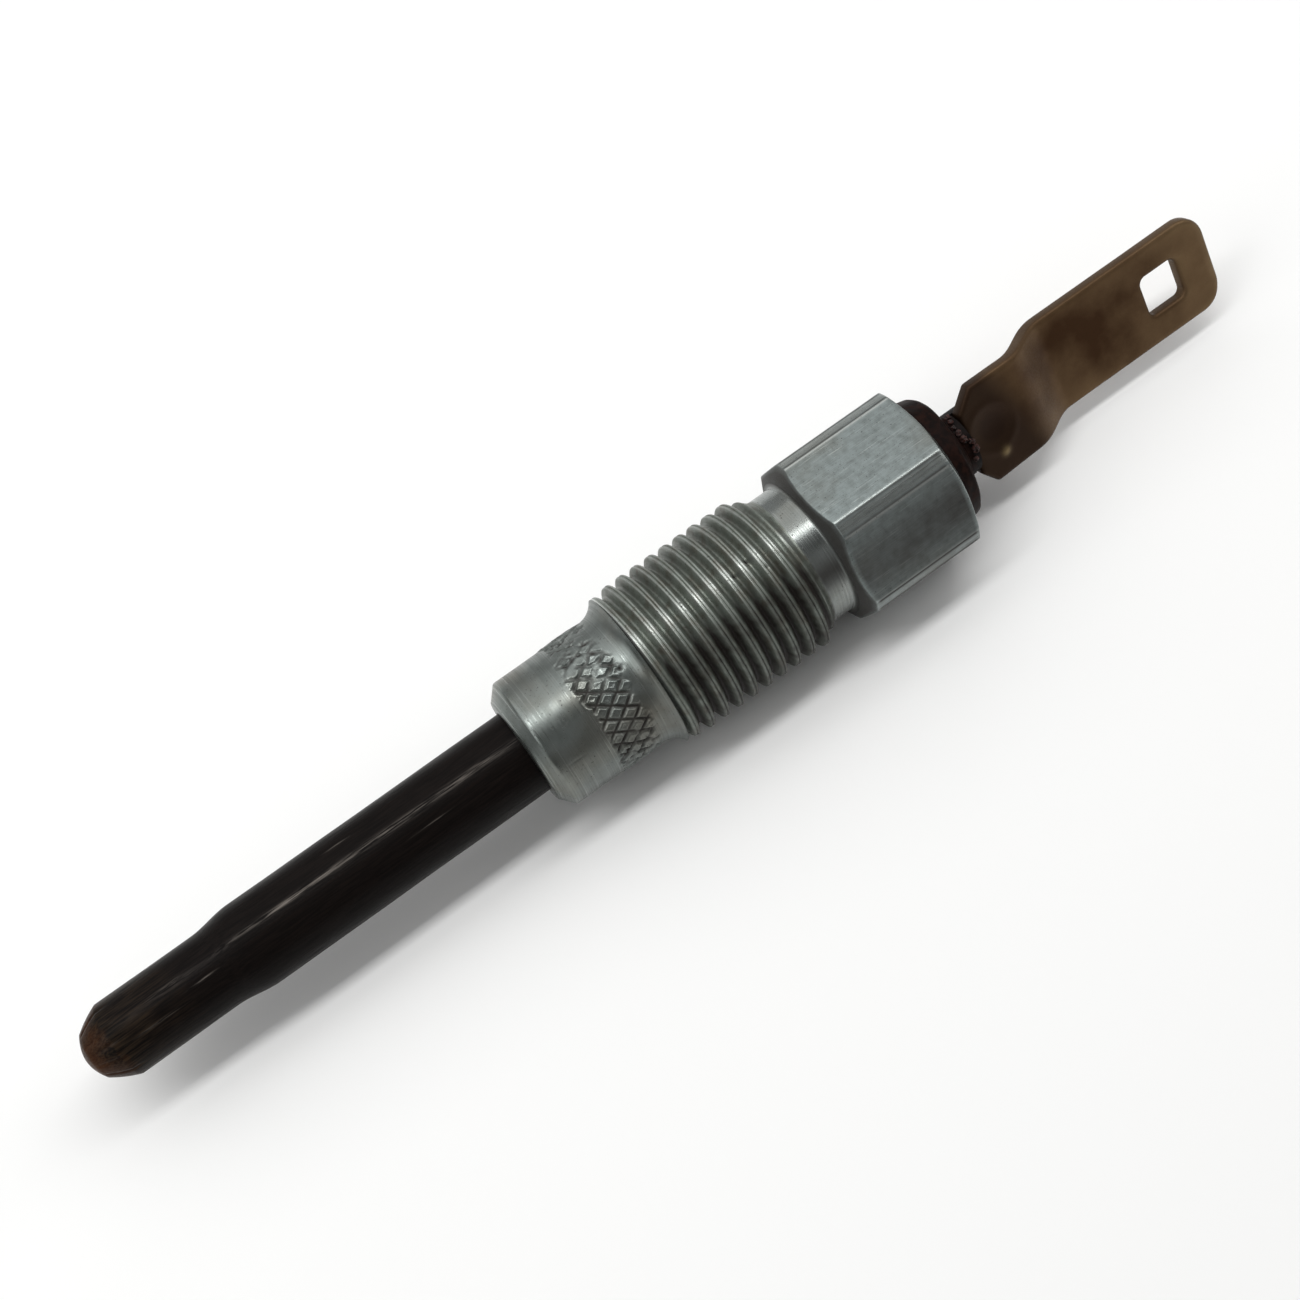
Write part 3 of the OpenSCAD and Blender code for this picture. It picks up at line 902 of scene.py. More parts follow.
    def hex_radius(self, phi: np.ndarray) -> np.ndarray:
        """Gives the radius of the hexagon, with its corners turned down and its edges rounded.

        Args:
            phi: Angles of the columns.

        Returns:
            One radius for each column.
        """
        off = np.radians(self.off_flat(phi))
        return soft_min(
            self.sizes.hex_half / np.cos(off), np.full_like(off, self.sizes.corner_r), self.hex_round)

    def corner_dark_lines(self, phi: np.ndarray) -> np.ndarray:
        """Gives the thin dark lines just inside the edges of the turned-down corners."""
        past = self.off_flat(phi) - self.edge_deg
        return self.corner_line * np.exp(-((past - 1.2) / 0.7) ** 2) - 0.25 * ease((past - 2.2) / 1.2)

    def rubbed_and_highlight(self, phi: np.ndarray) -> np.ndarray:
        """Gives how bright the turned-down corners and their edges are: rubbed, with a painted highlight on
        the far edges, and painted shade that dulls the lower strips.

        Args:
            phi: Angles of the columns.

        Returns:
            One share for each column.
        """
        strips = self.corner_strip * ease((self.off_flat(phi) - self.edge_deg - 2.0) / 1.2)
        # The far edges get 0.85 and the near edges 0.3: the extra on the far edges is a painted highlight.
        edges = (
            Band(60 * k - 90 + way * self.edge_deg, strength, self.edge_rub_w)
            for k in range(6) for way, strength in ((1, 0.3), (-1, 0.85)))
        return strips * (1 - self.shaded_lower_strips.at(phi)) + sum(edge.at(phi) for edge in edges)

    def thread_rows(self, phi: np.ndarray) -> list[Row]:
        """Gives the rings of the rolled thread, whose crests keep a thin seam.

        Args:
            phi: Angles of the columns.

        Returns:
            Rings that climb one pitch on their way around.
        """
        start, stop = self.sizes.fillet_end_x, self.shank_x
        start_r, stop_r, crest_r = self.sizes.fillet_end_r, self.shank_d / 2, self.thread_d / 2
        root_r = crest_r - self.thread_depth
        climb = self.thread_pitch * (phi - phi[0]) / (2 * math.pi)
        fade = self.crest_runout + self.runout_swing * np.cos(turned_apart(phi, self.runout_deg))
        lower, glint = self.lower_thread.at(phi), self.glint.at(phi)
        # The film darkens the thread: partly dirt, partly painted shade and a painted dark reflection.
        film = sum(dirt.at(phi) for dirt in self.thread_film_and_shade)
        rows = []
        for turn in range(-1, math.ceil((stop - start) / self.thread_pitch) + 1):
            for share, height, dirt, shine in self.profile:
                x = start + self.thread_pitch * (turn - 1 + share + self.thread_phase) + climb
                x = np.clip(x, start, stop)
                top = np.minimum(
                    start_r + (crest_r - start_r) * ease((x - start) / self.crest_lead),
                    stop_r + (crest_r - stop_r) * ease((stop - x) / fade))
                low = np.minimum(
                    start_r + (root_r - start_r) * ease((x - start) / self.root_lead),
                    stop_r + (root_r - stop_r) * ease((stop - x) / self.root_runout))
                full = (top - low) / self.thread_depth
                # The bare numbers below are shares of full dirt with painted shade, and of full shine with
                # painted highlight.
                rooted = (self.root_dirt + self.lower_root_dirt_and_shade * lower) * dirt * full
                soil_and_shade = rooted + self.lower_flank_dirt_and_shade * lower + film - 0.12 * glint
                grit = ripple(ring_points(x, crest_r, phi), self.grit_size, 17)
                soil_and_shade += self.grit_dirt * (0.35 + 0.65 * lower) * grit
                # Dirt and shade fade out at the start. The crest polish fades on the lower side; the glint
                # and the ring at the start are painted highlights.
                soil_and_shade *= 0.1 + 0.9 * ease((x - start) / self.clean_lead)
                shine = shine * full * (1 - 0.8 * lower) + 0.35 * glint * height
                shine += 0.7 * np.exp(-((x - start) / self.start_highlight_len) ** 2)
                r = low + (top - low) * height
                rows.append(Row(x, r, Zone.ROLLED, np.clip(soil_and_shade, 0, 1), shine))
        return rows

    def shank_rows(self, phi: np.ndarray) -> list[Row]:
        """Gives the rings of the turned shank, up to the face of the hexagon's cone.

        Args:
            phi: Angles of the columns.

        Returns:
            Rings in order towards the hexagon.
        """
        shank_r, base_r = self.shank_d / 2, self.hex_base_d / 2
        rows = [Row(self.shank_x, shank_r, Zone.ROLLED)]
        for x in np.linspace(self.shank_x + 0.1, self.hex_x - 0.15, 6):
            rows.append(Row(x, shank_r, Zone.FACED, self.shank_dark_reflection.at(phi)))
        # The crease at the hexagon's cone is darkened: painted shade, with some grime.
        return rows + [
            Row(self.hex_x - 0.05, shank_r + 0.02, Zone.FACED, 0.3),
            Row(self.hex_x, shank_r + 0.09, Zone.FACED, 0.6),
            Row(self.hex_x, base_r - 0.06, Zone.FACED, 0.9),
            Row(self.hex_x + 0.02, base_r + 0.01, Zone.DRAWN, 0.85)]

    def hex_rows(self, phi: np.ndarray) -> list[Row]:
        """Gives the rings of the hexagon between its two cones, and its end face.

        Args:
            phi: Angles of the columns.

        Returns:
            Rings in order towards the terminal.
        """
        base_r, end_r, end_x = self.hex_base_d / 2, self.hex_end_d / 2, self.sizes.end_x
        radius, corner_r, soft = self.hex_radius(phi), self.sizes.corner_r, self.edge_soft
        near = self.hex_x + (radius - base_r) / (corner_r - base_r) * self.hex_base_len
        far = end_x - (radius - end_r) / (corner_r - end_r) * self.hex_end_len
        near_slope = (corner_r - base_r) / self.hex_base_len
        far_slope = (corner_r - end_r) / self.hex_end_len
        rows = []
        # The base cone is darkened: painted shade, with some grime.
        for share in (0.35, 0.7):
            x = self.hex_x + (near - soft - self.hex_x) * share
            rows.append(Row(x, base_r + (x - self.hex_x) * near_slope, Zone.DRAWN, 0.9))
        rubbed_and_highlight = self.rubbed_and_highlight(phi)
        rows += [
            Row(near - soft, radius - soft * near_slope, Zone.DRAWN, 0.6),
            Row(near, radius - self.edge_sink, Zone.DRAWN, 0.2),
            Row(near + soft, radius, Zone.DRAWN, 0, rubbed_and_highlight)]
        # The lower flats darken: painted shade, mottled with dirt.
        lower = self.lower_hex.at(phi)
        lower *= 1 - 0.45 * ease((np.degrees(turned_apart(phi, self.lighter_from_deg)) - 6) / 16)
        for share in np.linspace(0.04, 0.96, 24):
            x = near + (far - near) * share
            cloud = ripple(ring_points(x, radius, phi), 0.7, 15)
            soil_and_shade = lower * (self.hex_dirt_and_shade + self.hex_end_dirt_and_shade * share ** 2 + self.hex_cloud * cloud)
            soil_and_shade = soil_and_shade + self.corner_dark_lines(phi)
            soil_and_shade += self.hex_haze * share
            rows.append(Row(x, radius, Zone.DRAWN, np.maximum(soil_and_shade, 0), rubbed_and_highlight))
        rows += [
            Row(far - soft, radius, Zone.DRAWN, 0.1 * lower, rubbed_and_highlight),
            Row(far, radius - 0.02, Zone.DRAWN, 0, 0.3),
            Row(far + soft, radius - soft * far_slope, Zone.DRAWN)]
        for share in (0.4, 0.75):
            x = far + soft + (end_x - 0.03 - far - soft) * share
            rows.append(Row(x, radius - (x - far) * far_slope, Zone.DRAWN))
        return rows + [
            Row(end_x - 0.02, end_r + 0.02, Zone.DRAWN), Row(end_x, end_r - 0.05, Zone.DRAWN)]

    def bore_rows(self) -> list[Row]:
        """Gives the rings of the two bores, back to the end of the nose.

        Returns:
            Rings in order back to the nose.
        """
        bore_r, seal_r = self.sizes.tube_bore_d / 2, self.sizes.seal_bore_d / 2
        step_x = self.sizes.end_x - self.sizes.seal_bore_len
        return [Row(x, r, Zone.FACED) for x, r in (
            (self.sizes.end_x, seal_r), (step_x, seal_r), (step_x, bore_r),
            (self.sizes.fillet_end_x, bore_r))]

    def rows(self, phi: np.ndarray) -> list[Row]:
        """Gives all rings of the body."""
        return self.thread_rows(phi) + self.shank_rows(phi) + self.hex_rows(phi) + self.bore_rows()

    def shifts(self, points: np.ndarray, phi: np.ndarray) -> np.ndarray:
        """Gives the slight unevenness of the used surface.

        Args:
            points: Points in millimetres, one in each row.
            phi: Their angles around the axis; not used.

        Returns:
            One distance for each point.
        """
        outer = np.hypot(points[:, 1], points[:, 2]) > self.sizes.seal_bore_d / 2 + 0.2
        crest = (points[:, 0] > self.sizes.fillet_end_x + 0.1) & (points[:, 0] < self.shank_x - 0.1)
        return (self.uneven + self.thread_uneven * crest) * ripple(points, 1.0, 13) * outer

    def build(self) -> bpy.types.Object:
        """Builds and dresses the body.

        Returns:
            The finished piece.
        """
        finishes = {
            Zone.ROLLED: ZincPlatedSteel(
                "rolled_zinc_plated_steel", Marks.TURNED, plate="#7E857D", dull="#666B62", film="#544636",
                mark_w=0.12, film_w=0.9, blotch_w=0.5, pit_w=0.11, pit_from=0.64,
                smooth=0.28, rough=0.46, metal=0.62),
            Zone.FACED: ZincPlatedSteel(
                "faced_zinc_plated_steel", Marks.TURNED, plate="#8C918F", dull="#797E7B",
                smooth=0.2, rough=0.32),
            Zone.DRAWN: ZincPlatedSteel(
                "drawn_zinc_plated_steel", Marks.DRAWN, plate="#818988", dull="#686E6C", film="#6B6A63",
                mark_w=0.06, mark_depth=0.004, mark_run=2.0, scratched=0.34, blotch_w=0.45, pit_w=0.10,
                pit_from=0.66, smooth=0.28, rough=0.42, streak=0.1),
        }
        piece = self.mesh("plug_body", [finishes[zone].material() for zone in Zone], 45)
        hand_over(piece, "plated_steel", "housing")
        return piece


@dataclass
class HeaterTube(TurnedPiece):
    """Closed tube of the heater, with a swaged tip whose end was pressed to a cone."""

    column_count: int = 360
    tube_d: float = 5.1
    tip_d: float = 4.52
    wall: float = 0.5
    tip_wall: float = 1.2
    tip_len: float = 8.1
    swage_len: float = 2.6
    cone_len: float = 1.5
    face_d: float = 2.86
    dome: float = 0.5
    pleats: tuple[float, ...] = (20, 62, 97, 118, 141, 170, 205, 250, 300, 340)
    pleat_w: float = 0.10
    pleat_depth: float = 0.07
    pleat_run: float = 0.9
    crown: float = 0.06
    wave: float = 0.02
    wave_size: tuple[float, float, float] = (5.0, 1.2, 1.2)
    # The four marks near 100 degrees lie on the overhead light's line: partly rubbed scale, partly a painted
    # highlight. The others are rubs.
    rubs_and_highlights: tuple[BrightMark, ...] = (
        BrightMark(-14.6, 100.0, 3.4, 0.10, 0.55),
        BrightMark(-8.0, 100.6, 5.0, 0.15, 0.32),
        BrightMark(-2.5, 101.0, 2.2, 0.17, 0.26),
        BrightMark(-22.5, 98.6, 1.0, 0.16, 0.3),
        BrightMark(-20.9, 118.3, 0.7, 0.05, 0.55),
        BrightMark(-11.0, 75.0, 0.8, 0.05, 0.3),
        BrightMark(-24.0, 131.0, 1.2, 0.05, 0.3),
        BrightMark(-6.4, 124.0, 0.9, 0.04, 0.25),
        BrightMark(-16.2, 230.0, 1.5, 0.06, 0.4),
        BrightMark(-9.0, 318.0, 1.8, 0.06, 0.4),
        BrightMark(-20.0, 20.0, 1.2, 0.06, 0.4),
    )

    def __post_init__(self) -> None:
        """Takes the ends of the tube from the frame."""
        low, high = node_span("heater_tube")
        self.tip_x, self.open_x = float(low[0]), float(high[0])

    def rows(self, phi: np.ndarray) -> list[Row]:
        """Gives the rings from the tip along the outside, and back along the bore.

        Args:
            phi: Angles of the columns.

        Returns:
            Rings in order, the last of which closes the bore.
        """
        tip_r, tube_r, face_r = self.tip_d / 2, self.tube_d / 2, self.face_d / 2
        swage_x = self.tip_x + self.tip_len
        cone_x = self.tip_x + self.dome
        straight_x = swage_x + self.swage_len
        rows = [Row(self.tip_x + self.dome * t ** 2, face_r * t) for t in np.linspace(0, 1, 9)]
        for t in np.linspace(0, 1, 12)[1:]:
            crown = self.crown * math.sin(math.pi * t)
            rows.append(Row(cone_x + self.cone_len * t, face_r + (tip_r - face_r) * t + crown))
        rows += [Row(x, tip_r) for x in np.linspace(cone_x + self.cone_len + 0.15, swage_x, 30)]
        for t in np.linspace(0, 1, 18)[1:]:
            rows.append(Row(swage_x + self.swage_len * t, tip_r + (tube_r - tip_r) * float(ease(t))))
        rows += [Row(x, tube_r) for x in np.linspace(straight_x + 0.4, 0.5, 60)]
        for row in rows:
            row.polish_and_highlight = self.shine(row.x, phi)
        rows += [Row(self.open_x, tube_r), Row(self.open_x, tube_r - self.wall)]
        rows += [Row(straight_x, tube_r - self.wall), Row(swage_x, tip_r - self.wall)]
        inner_x = self.tip_x + self.tip_wall
        return rows + [Row(inner_x, tip_r - self.wall), Row(inner_x, 0.0)]

    def shine(self, x: float, phi: np.ndarray) -> np.ndarray:
        """Gives how bright the scale is around the tube, at one place along it: rubbed off, and a painted
        highlight along the top streak.

        Args:
            x: The place along the tube.
            phi: Angles of the columns.

        Returns:
            One share for each column.
        """
        share = np.zeros_like(phi)
        for rub in self.rubs_and_highlights:
            across = self.tube_d / 2 * turned_apart(phi, rub.turn_deg) / rub.width
            share += rub.strength * np.exp(-((x - rub.x) / rub.reach) ** 2 - across ** 2)
        return share

    def shifts(self, points: np.ndarray, phi: np.ndarray) -> np.ndarray:
        """Gives the pleats around the cone and the slight waves of the drawn tube.

        Args:
            points: Points in millimetres, one in each row.
            phi: Their angles around the axis.

        Returns:
            One distance for each point.
        """
        x = points[:, 0]
        radius = np.hypot(points[:, 1], points[:, 2])
        cone_end = self.tip_x + self.dome + self.cone_len
        skin = (radius > self.tip_d / 2 - self.wall + 0.1) | (x < self.tip_x + self.tip_wall - 0.1)
        outer = skin & (x < -0.2)
        moved = self.wave * ripple(points, self.wave_size, 21) * outer
        along = ease((x - self.tip_x - 0.3) / 0.6)
        along = along * ease((cone_end + self.pleat_run - x) / self.pleat_run)
        for i, pleat in enumerate(self.pleats):
            depth = self.pleat_depth * (0.5 + 0.5 * math.sin(2.3 * i) ** 2)
            fold = np.exp(-(radius * turned_apart(phi, pleat) / self.pleat_w) ** 2)
            moved -= depth * fold * along * outer
        return moved

    def build(self) -> bpy.types.Object:
        """Builds and dresses the tube.

        Returns:
            The finished piece.
        """
        piece = self.mesh("plug_sheath", [ScaledSheath(self.tip_x).material()], 50)
        hand_over(piece, "scaled_sheath", "heater_tube")
        return piece


@dataclass
class Insulator(TurnedPiece):
    """Moulded bush between the housing and the electrode, with a ragged neck."""

    foot_d: float = 8.2
    rim_d: float = 7.6
    rim_h: float = 1.4
    neck_h: float = 1.8
    plug_d: float = 6.6
    rod_d: float = 3.8
    lip: float = 0.08
    rim_round: float = 0.38
    rim_wear: float = 0.33
    wear_deg: float = 190.0
    ragged: float = 0.04
    ragged_size: float = 0.7
    crumb_turns: tuple[float, ...] = (66, 80, 93, 104, 118, 128, 141, 156)
    crumb_r: tuple[float, float] = (0.14, 0.30)
    crumb_reach: tuple[float, float] = (0.0, 0.25)
    crumb_shift: tuple[float, float] = (-0.15, 0.25)
    crumb_swell: float = 0.55
    crumb_seed: int = 7

    def __post_init__(self) -> None:
        """Takes the ends of the bush from the frame."""
        low, high = node_span("insulator")
        self.low_x, self.top_x = float(low[0]), float(high[0])
        self.face_x = float(node_span("housing")[1][0])

    def rows(self, phi: np.ndarray) -> list[Row]:
        """Gives the rings from the bore at the foot, out over the rim and up to the neck.

        Args:
            phi: Angles of the columns.

        Returns:
            Rings in order, the last of which ends at the electrode.
        """
        rod_r, plug_r, foot_r, rim_r = (d / 2 for d in (self.rod_d, self.plug_d, self.foot_d, self.rim_d))
        worn = self.rim_wear * ease((np.cos(turned_apart(phi, self.wear_deg)) + 0.6) / 1.2)
        rim_h, soft = self.rim_h - worn, self.rim_round
        rim_x = self.face_x + rim_h
        rows = [Row(x, r) for x, r in (
            (self.low_x, rod_r), (self.low_x, plug_r), (self.face_x, plug_r),
            (self.face_x, foot_r - 0.04), (self.face_x + 0.04, foot_r))]
        for t in np.linspace(0.15, 0.75, 5):
            rows.append(Row(self.face_x + rim_h * t, foot_r + (rim_r - foot_r) * t))
        for t in np.linspace(0, math.pi / 2, 7):
            rows.append(Row(rim_x - soft * (1 - math.sin(t)), rim_r - soft * (1 - math.cos(t))))
        start_r, lip_r, neck_x = rim_r - soft, rod_r + self.lip, self.face_x + self.neck_h
        for t in np.linspace(0, 1, 16)[1:]:
            rows.append(Row(rim_x + (neck_x - rim_x) * t, start_r + (lip_r - start_r) * t))
        rows += [Row(x, lip_r) for x in np.linspace(neck_x, self.top_x, 5)[1:]]
        return rows + [Row(self.top_x, rod_r)]

    def shifts(self, points: np.ndarray, phi: np.ndarray) -> np.ndarray:
        """Gives the slightly ragged moulding.

        Args:
            points: Points in millimetres, one in each row.
            phi: Their angles around the axis; not used.

        Returns:
            One distance for each point.
        """
        radius = np.hypot(points[:, 1], points[:, 2])
        shown = (points[:, 0] > self.face_x + 0.1) & (radius > self.rod_d / 2 + 0.02)
        return np.where(shown, self.ragged * ripple(points, self.ragged_size, 31), 0.0)

    def crumbs(self) -> bpy.types.Object:
        """Builds the broken bits of resin that cling to the neck under the lug.

        Returns:
            The finished piece.
        """
        draw = random.Random(self.crumb_seed)
        work = bmesh.new()
        for turn_deg in self.crumb_turns:
            size = draw.uniform(*self.crumb_r)
            turn = math.radians(turn_deg)
            reach = self.rod_d / 2 + draw.uniform(*self.crumb_reach)
            x = self.top_x + draw.uniform(*self.crumb_shift)
            centre = Vector((x, reach * math.cos(turn), reach * math.sin(turn)))
            lump = bmesh.ops.create_icosphere(work, subdivisions=3, radius=size)["verts"]
            for vert in lump:
                swell = 1 + self.crumb_swell * noise.noise(vert.co / size * 1.7 + centre * 9)
                vert.co = centre + vert.co * swell
        points = np.array([v.co for v in work.verts])
        work.verts.index_update()
        faces = [[v.index for v in face.verts] for face in work.faces]
        work.free()
        piece = new_piece("plug_neck_resin", points, faces, [BROKEN_RESIN.material()], 30)
        hand_over(piece, "bush_moulding")
        return piece

    def build(self) -> bpy.types.Object:
        """Builds and dresses the bush.

        Returns:
            The finished piece.
        """
        piece = self.mesh("plug_insulator", [PHENOLIC.material()], 45)
        hand_over(piece, "bush_moulding", "insulator")
        self.crumbs()
        return piece


@dataclass(frozen=True)
class Stain:
    """A darker cloud on the strip, by its place and reach along and across."""

    x: float
    across: float
    reach_x: float
    reach_across: float
    strength: float


@dataclass
class TerminalBlade:
    """Stamped strip: a lug welded to the electrode, a joggle, and a blade with a latch hole."""

    roll_deg: float = 60.0
    width: float = 6.2
    thick: float = 0.8
    lug_len: float = 3.9
    lug_h: float = 0.35
    lug_cut: float = 1.25
    lug_low_cut: float = 0.8
    lug_swell: float = 0.24
    corner_soft: float = 0.35
    joggle_len: float = 3.6
    joggle_drop: float = 1.7
    end_round: float = 1.6
    latch_side: float = 2.6
    latch_round: float = 0.45
    latch_back: float = 3.7
    rod_back: float = 0.6
    weld_d: float = 2.8
    weld_depth: float = 0.14
    bead_place: tuple[float, float] = (32.85, -1.8)
    bead_d: float = 0.54
    bead_h: float = 0.15
    edge_round: float = 0.24
    back_round: float = 0.06
    coin_len: float = 0.7
    coin_drop: float = 0.09
    arc_steps: int = 10
    fine_cut: float = 0.15
    coarse_cut: float = 0.5
    cross_cut: float = 0.16
    weld_rim: float = 0.04
    wave: float = 0.02
    wave_size: float = 2.5
    edge_wear: float = 0.16
    # Painted shade along the rounded edges.
    edge_shade: float = 0.5
    # Painted glint on the weld's bead.
    bead_glint: float = 0.8
    lug_burn: float = 0.94
    stains: tuple[Stain, ...] = (
        Stain(42.4, 1.3, 3.4, 2.0, 0.62),
        Stain(37.0, 0.0, 1.8, 3.2, 0.38),
        Stain(43.0, -2.0, 4.5, 1.8, 0.4),
        Stain(43.8, 1.2, 0.9, 0.8, 0.25),
        Stain(39.2, 1.6, 2.2, 1.4, 0.4),
        Stain(41.5, -0.8, 2.4, 1.6, 0.3),
        Stain(46.7, 0.0, 2.0, 2.0, 0.25),
        Stain(34.6, 0.6, 1.8, 3.0, 0.5),
    )

    def __post_init__(self) -> None:
        """Takes the ends of the strip from the frame."""
        low, high = node_span("terminal_blade")
        self.lug_x, self.end_x = float(low[0]), float(high[0])
        self.joggle_x = self.lug_x + self.lug_len
        self.weld_x = (self.lug_x + self.joggle_x - self.rod_back) / 2

    def rounded(self, corners: list[tuple[float, float, float]]) -> np.ndarray:
        """Rounds the corners of an outline.

        Args:
            corners: x, y and radius of each corner, in order.

        Returns:
            The points of the outline, with an arc at each corner.
        """
        points = []
        for i, (x, y, radius) in enumerate(corners):
            here = Vector((x, y))
            back = (Vector(corners[i - 1][:2]) - here).normalized()
            ahead = (Vector(corners[(i + 1) % len(corners)][:2]) - here).normalized()
            half = back.angle(ahead) / 2
            centre = here + (back + ahead).normalized() * radius / math.sin(half)
            first = here + back * radius / math.tan(half) - centre
            last = here + ahead * radius / math.tan(half) - centre
            for k in range(self.arc_steps + 1):
                points.append(tuple(centre + radius * first.slerp(last, k / self.arc_steps)))
        return np.array(points)

    def loops(self) -> list[np.ndarray]:
        """Gives the strip's outline and its latch hole, laid flat, with the metal on their left.

        Returns:
            The points of both loops.
        """
        half, cut, low_cut, soft = self.width / 2, self.lug_cut, self.lug_low_cut, self.corner_soft
        outline = self.rounded([
            (self.lug_x, half - cut, soft), (self.lug_x, low_cut - half, soft),
            (self.lug_x + low_cut, -half - self.lug_swell, soft),
            (self.joggle_x + self.joggle_len / 2, -half, 2.0), (self.end_x, -half, self.end_round),
            (self.end_x, half, self.end_round), (self.lug_x + cut, half, soft)])
        x, side, inner = self.end_x - self.latch_back, self.latch_side / 2, self.latch_round
        latch = self.rounded([
            (x - side, -side, inner), (x + side, -side, inner),
            (x + side, side, inner), (x - side, side, inner)])
        return [outline, latch[::-1]]

    def flat_mesh(self) -> bmesh.types.BMesh:
        """Makes the flat strip with rounded edges, cut into small faces.

        Returns:
            The mesh, which the caller frees.
        """
        work = bmesh.new()
        turns = np.linspace(0, math.pi / 2, 5)
        edge = [(reach * (1 - math.sin(a)), side * (self.thick / 2 - reach * (1 - math.cos(a))))
                for side, reach, arc in ((1, self.edge_round, turns), (-1, self.back_round, turns[::-1]))
                for a in arc]
        rims = ([], [])
        for loop in self.loops():
            ahead = np.roll(loop, -1, axis=0) - np.roll(loop, 1, axis=0)
            inward = np.stack([-ahead[:, 1], ahead[:, 0]], axis=-1) / np.linalg.norm(ahead, axis=1)[:, None]
            rings = [[work.verts.new((*point, z)) for point in loop + inward * inset] for inset, z in edge]
            for upper, lower in zip(rings, rings[1:]):
                for i in range(len(loop)):
                    work.faces.new((upper[i - 1], upper[i], lower[i], lower[i - 1]))
            for rim, ring in zip(rims, (rings[0], rings[-1])):
                rim += [work.edges.get((ring[i - 1], ring[i])) for i in range(len(loop))]
        for rim in rims:
            bmesh.ops.triangle_fill(work, use_beauty=True, edges=rim, normal=(0, 0, 1))
        bend_end = self.joggle_x + self.joggle_len
        cuts = [(x, (1, 0, 0)) for x in np.arange(self.lug_x + 0.2, bend_end + 0.4, self.fine_cut)]
        cuts += [(x, (1, 0, 0)) for x in np.arange(bend_end + 0.7, self.end_x - 1.4, self.coarse_cut)]
        cuts += [(x, (1, 0, 0)) for x in np.arange(self.end_x - 1.3, self.end_x - 0.05, self.fine_cut)]
        cuts += [(y, (0, 1, 0)) for y in np.arange(-self.width / 2 + 0.2, self.width / 2, self.cross_cut)]
        for place, normal in cuts:
            bmesh.ops.bisect_plane(
                work, geom=work.verts[:] + work.edges[:] + work.faces[:], dist=1e-5,
                plane_co=Vector(normal) * place, plane_no=normal)
        return work

    def middle(self, x: np.ndarray) -> np.ndarray:
        """Gives the height of the strip's middle plane."""
        return self.lug_h - self.joggle_drop * ease((x - self.joggle_x) / self.joggle_len)

    def bead_gap(self, x: np.ndarray, y: np.ndarray) -> np.ndarray:
        """Gives how far points of the flat strip are from the middle of the weld's bead."""
        return np.hypot(x - self.bead_place[0], y - self.bead_place[1])

    def relief(self, flat: np.ndarray) -> np.ndarray:
        """Gives the height of the formed strip's surface over its middle plane.

        Args:
            flat: Points of the flat strip.

        Returns:
            Their heights with the weld, its bead, the coined end and slight waves.
        """
        x, y, z = flat.T
        gap = np.hypot(x - self.weld_x, y) / (self.weld_d / 2)
        dimple = -self.weld_depth * np.cos(np.pi / 2 * np.clip(gap, 0, 1)) ** 1.2
        dimple += self.weld_rim * np.exp(-((gap - 1.1) / 0.16) ** 2)
        bead = self.bead_h * np.exp(-(self.bead_gap(x, y) / self.bead_d * 2) ** 2)
        coin = self.coin_drop * ease((x - self.end_x + self.coin_len) / self.coin_len) * np.sign(z)
        waves = self.wave * ripple(flat * (1, 1, 0), self.wave_size, 41)
        return z + np.where(z > 0, dimple + bead, 0) - coin + waves

    def shares(self, piece: bpy.types.Object, x: np.ndarray, y: np.ndarray) -> None:
        """Stores where the strip is worn, stained and burnt, and where it has painted shade along its rounded
        edges and a painted glint on the weld's bead.

        Args:
            piece: The formed strip.
            x: Place of each point along the flat strip.
            y: Place of each point across it.
        """
        edge_gap = np.full_like(x, 9.0)
        for loop in self.loops():
            for a, b in zip(loop, np.roll(loop, -1, axis=0)):
                run = b - a
                t = np.clip(((x - a[0]) * run[0] + (y - a[1]) * run[1]) / (run @ run), 0, 1)
                edge_gap = np.minimum(edge_gap, np.hypot(x - a[0] - t * run[0], y - a[1] - t * run[1]))
        worn = self.edge_wear * ease((x - self.end_x + 3.5) / 2.5)
        worn = worn * np.exp(-((edge_gap - 0.25) / 0.18) ** 2)
        # Painted shade along the rounded edges.
        wall = self.edge_shade * np.exp(-(edge_gap / 0.16) ** 2)
        # Painted glint on the weld's bead.
        bead = self.bead_glint * np.exp(-(2.2 * self.bead_gap(x, y) / self.bead_d) ** 2)
        add_share(piece, "wear_and_glint", worn + bead)
        cloud = sum(
            s.strength * np.exp(-((x - s.x) / s.reach_x) ** 2 - ((y - s.across) / s.reach_across) ** 2)
            for s in self.stains)
        add_share(piece, "stain", cloud)
        burn = np.hypot(x - self.weld_x, y) / self.weld_d
        lug = self.lug_burn * ease((self.joggle_x + 1.2 - 0.35 * y - x) / 2.4)
        add_share(piece, "scorch_and_shade", np.maximum(np.maximum(lug, wall), ease((1.2 - burn) / 1.0)))

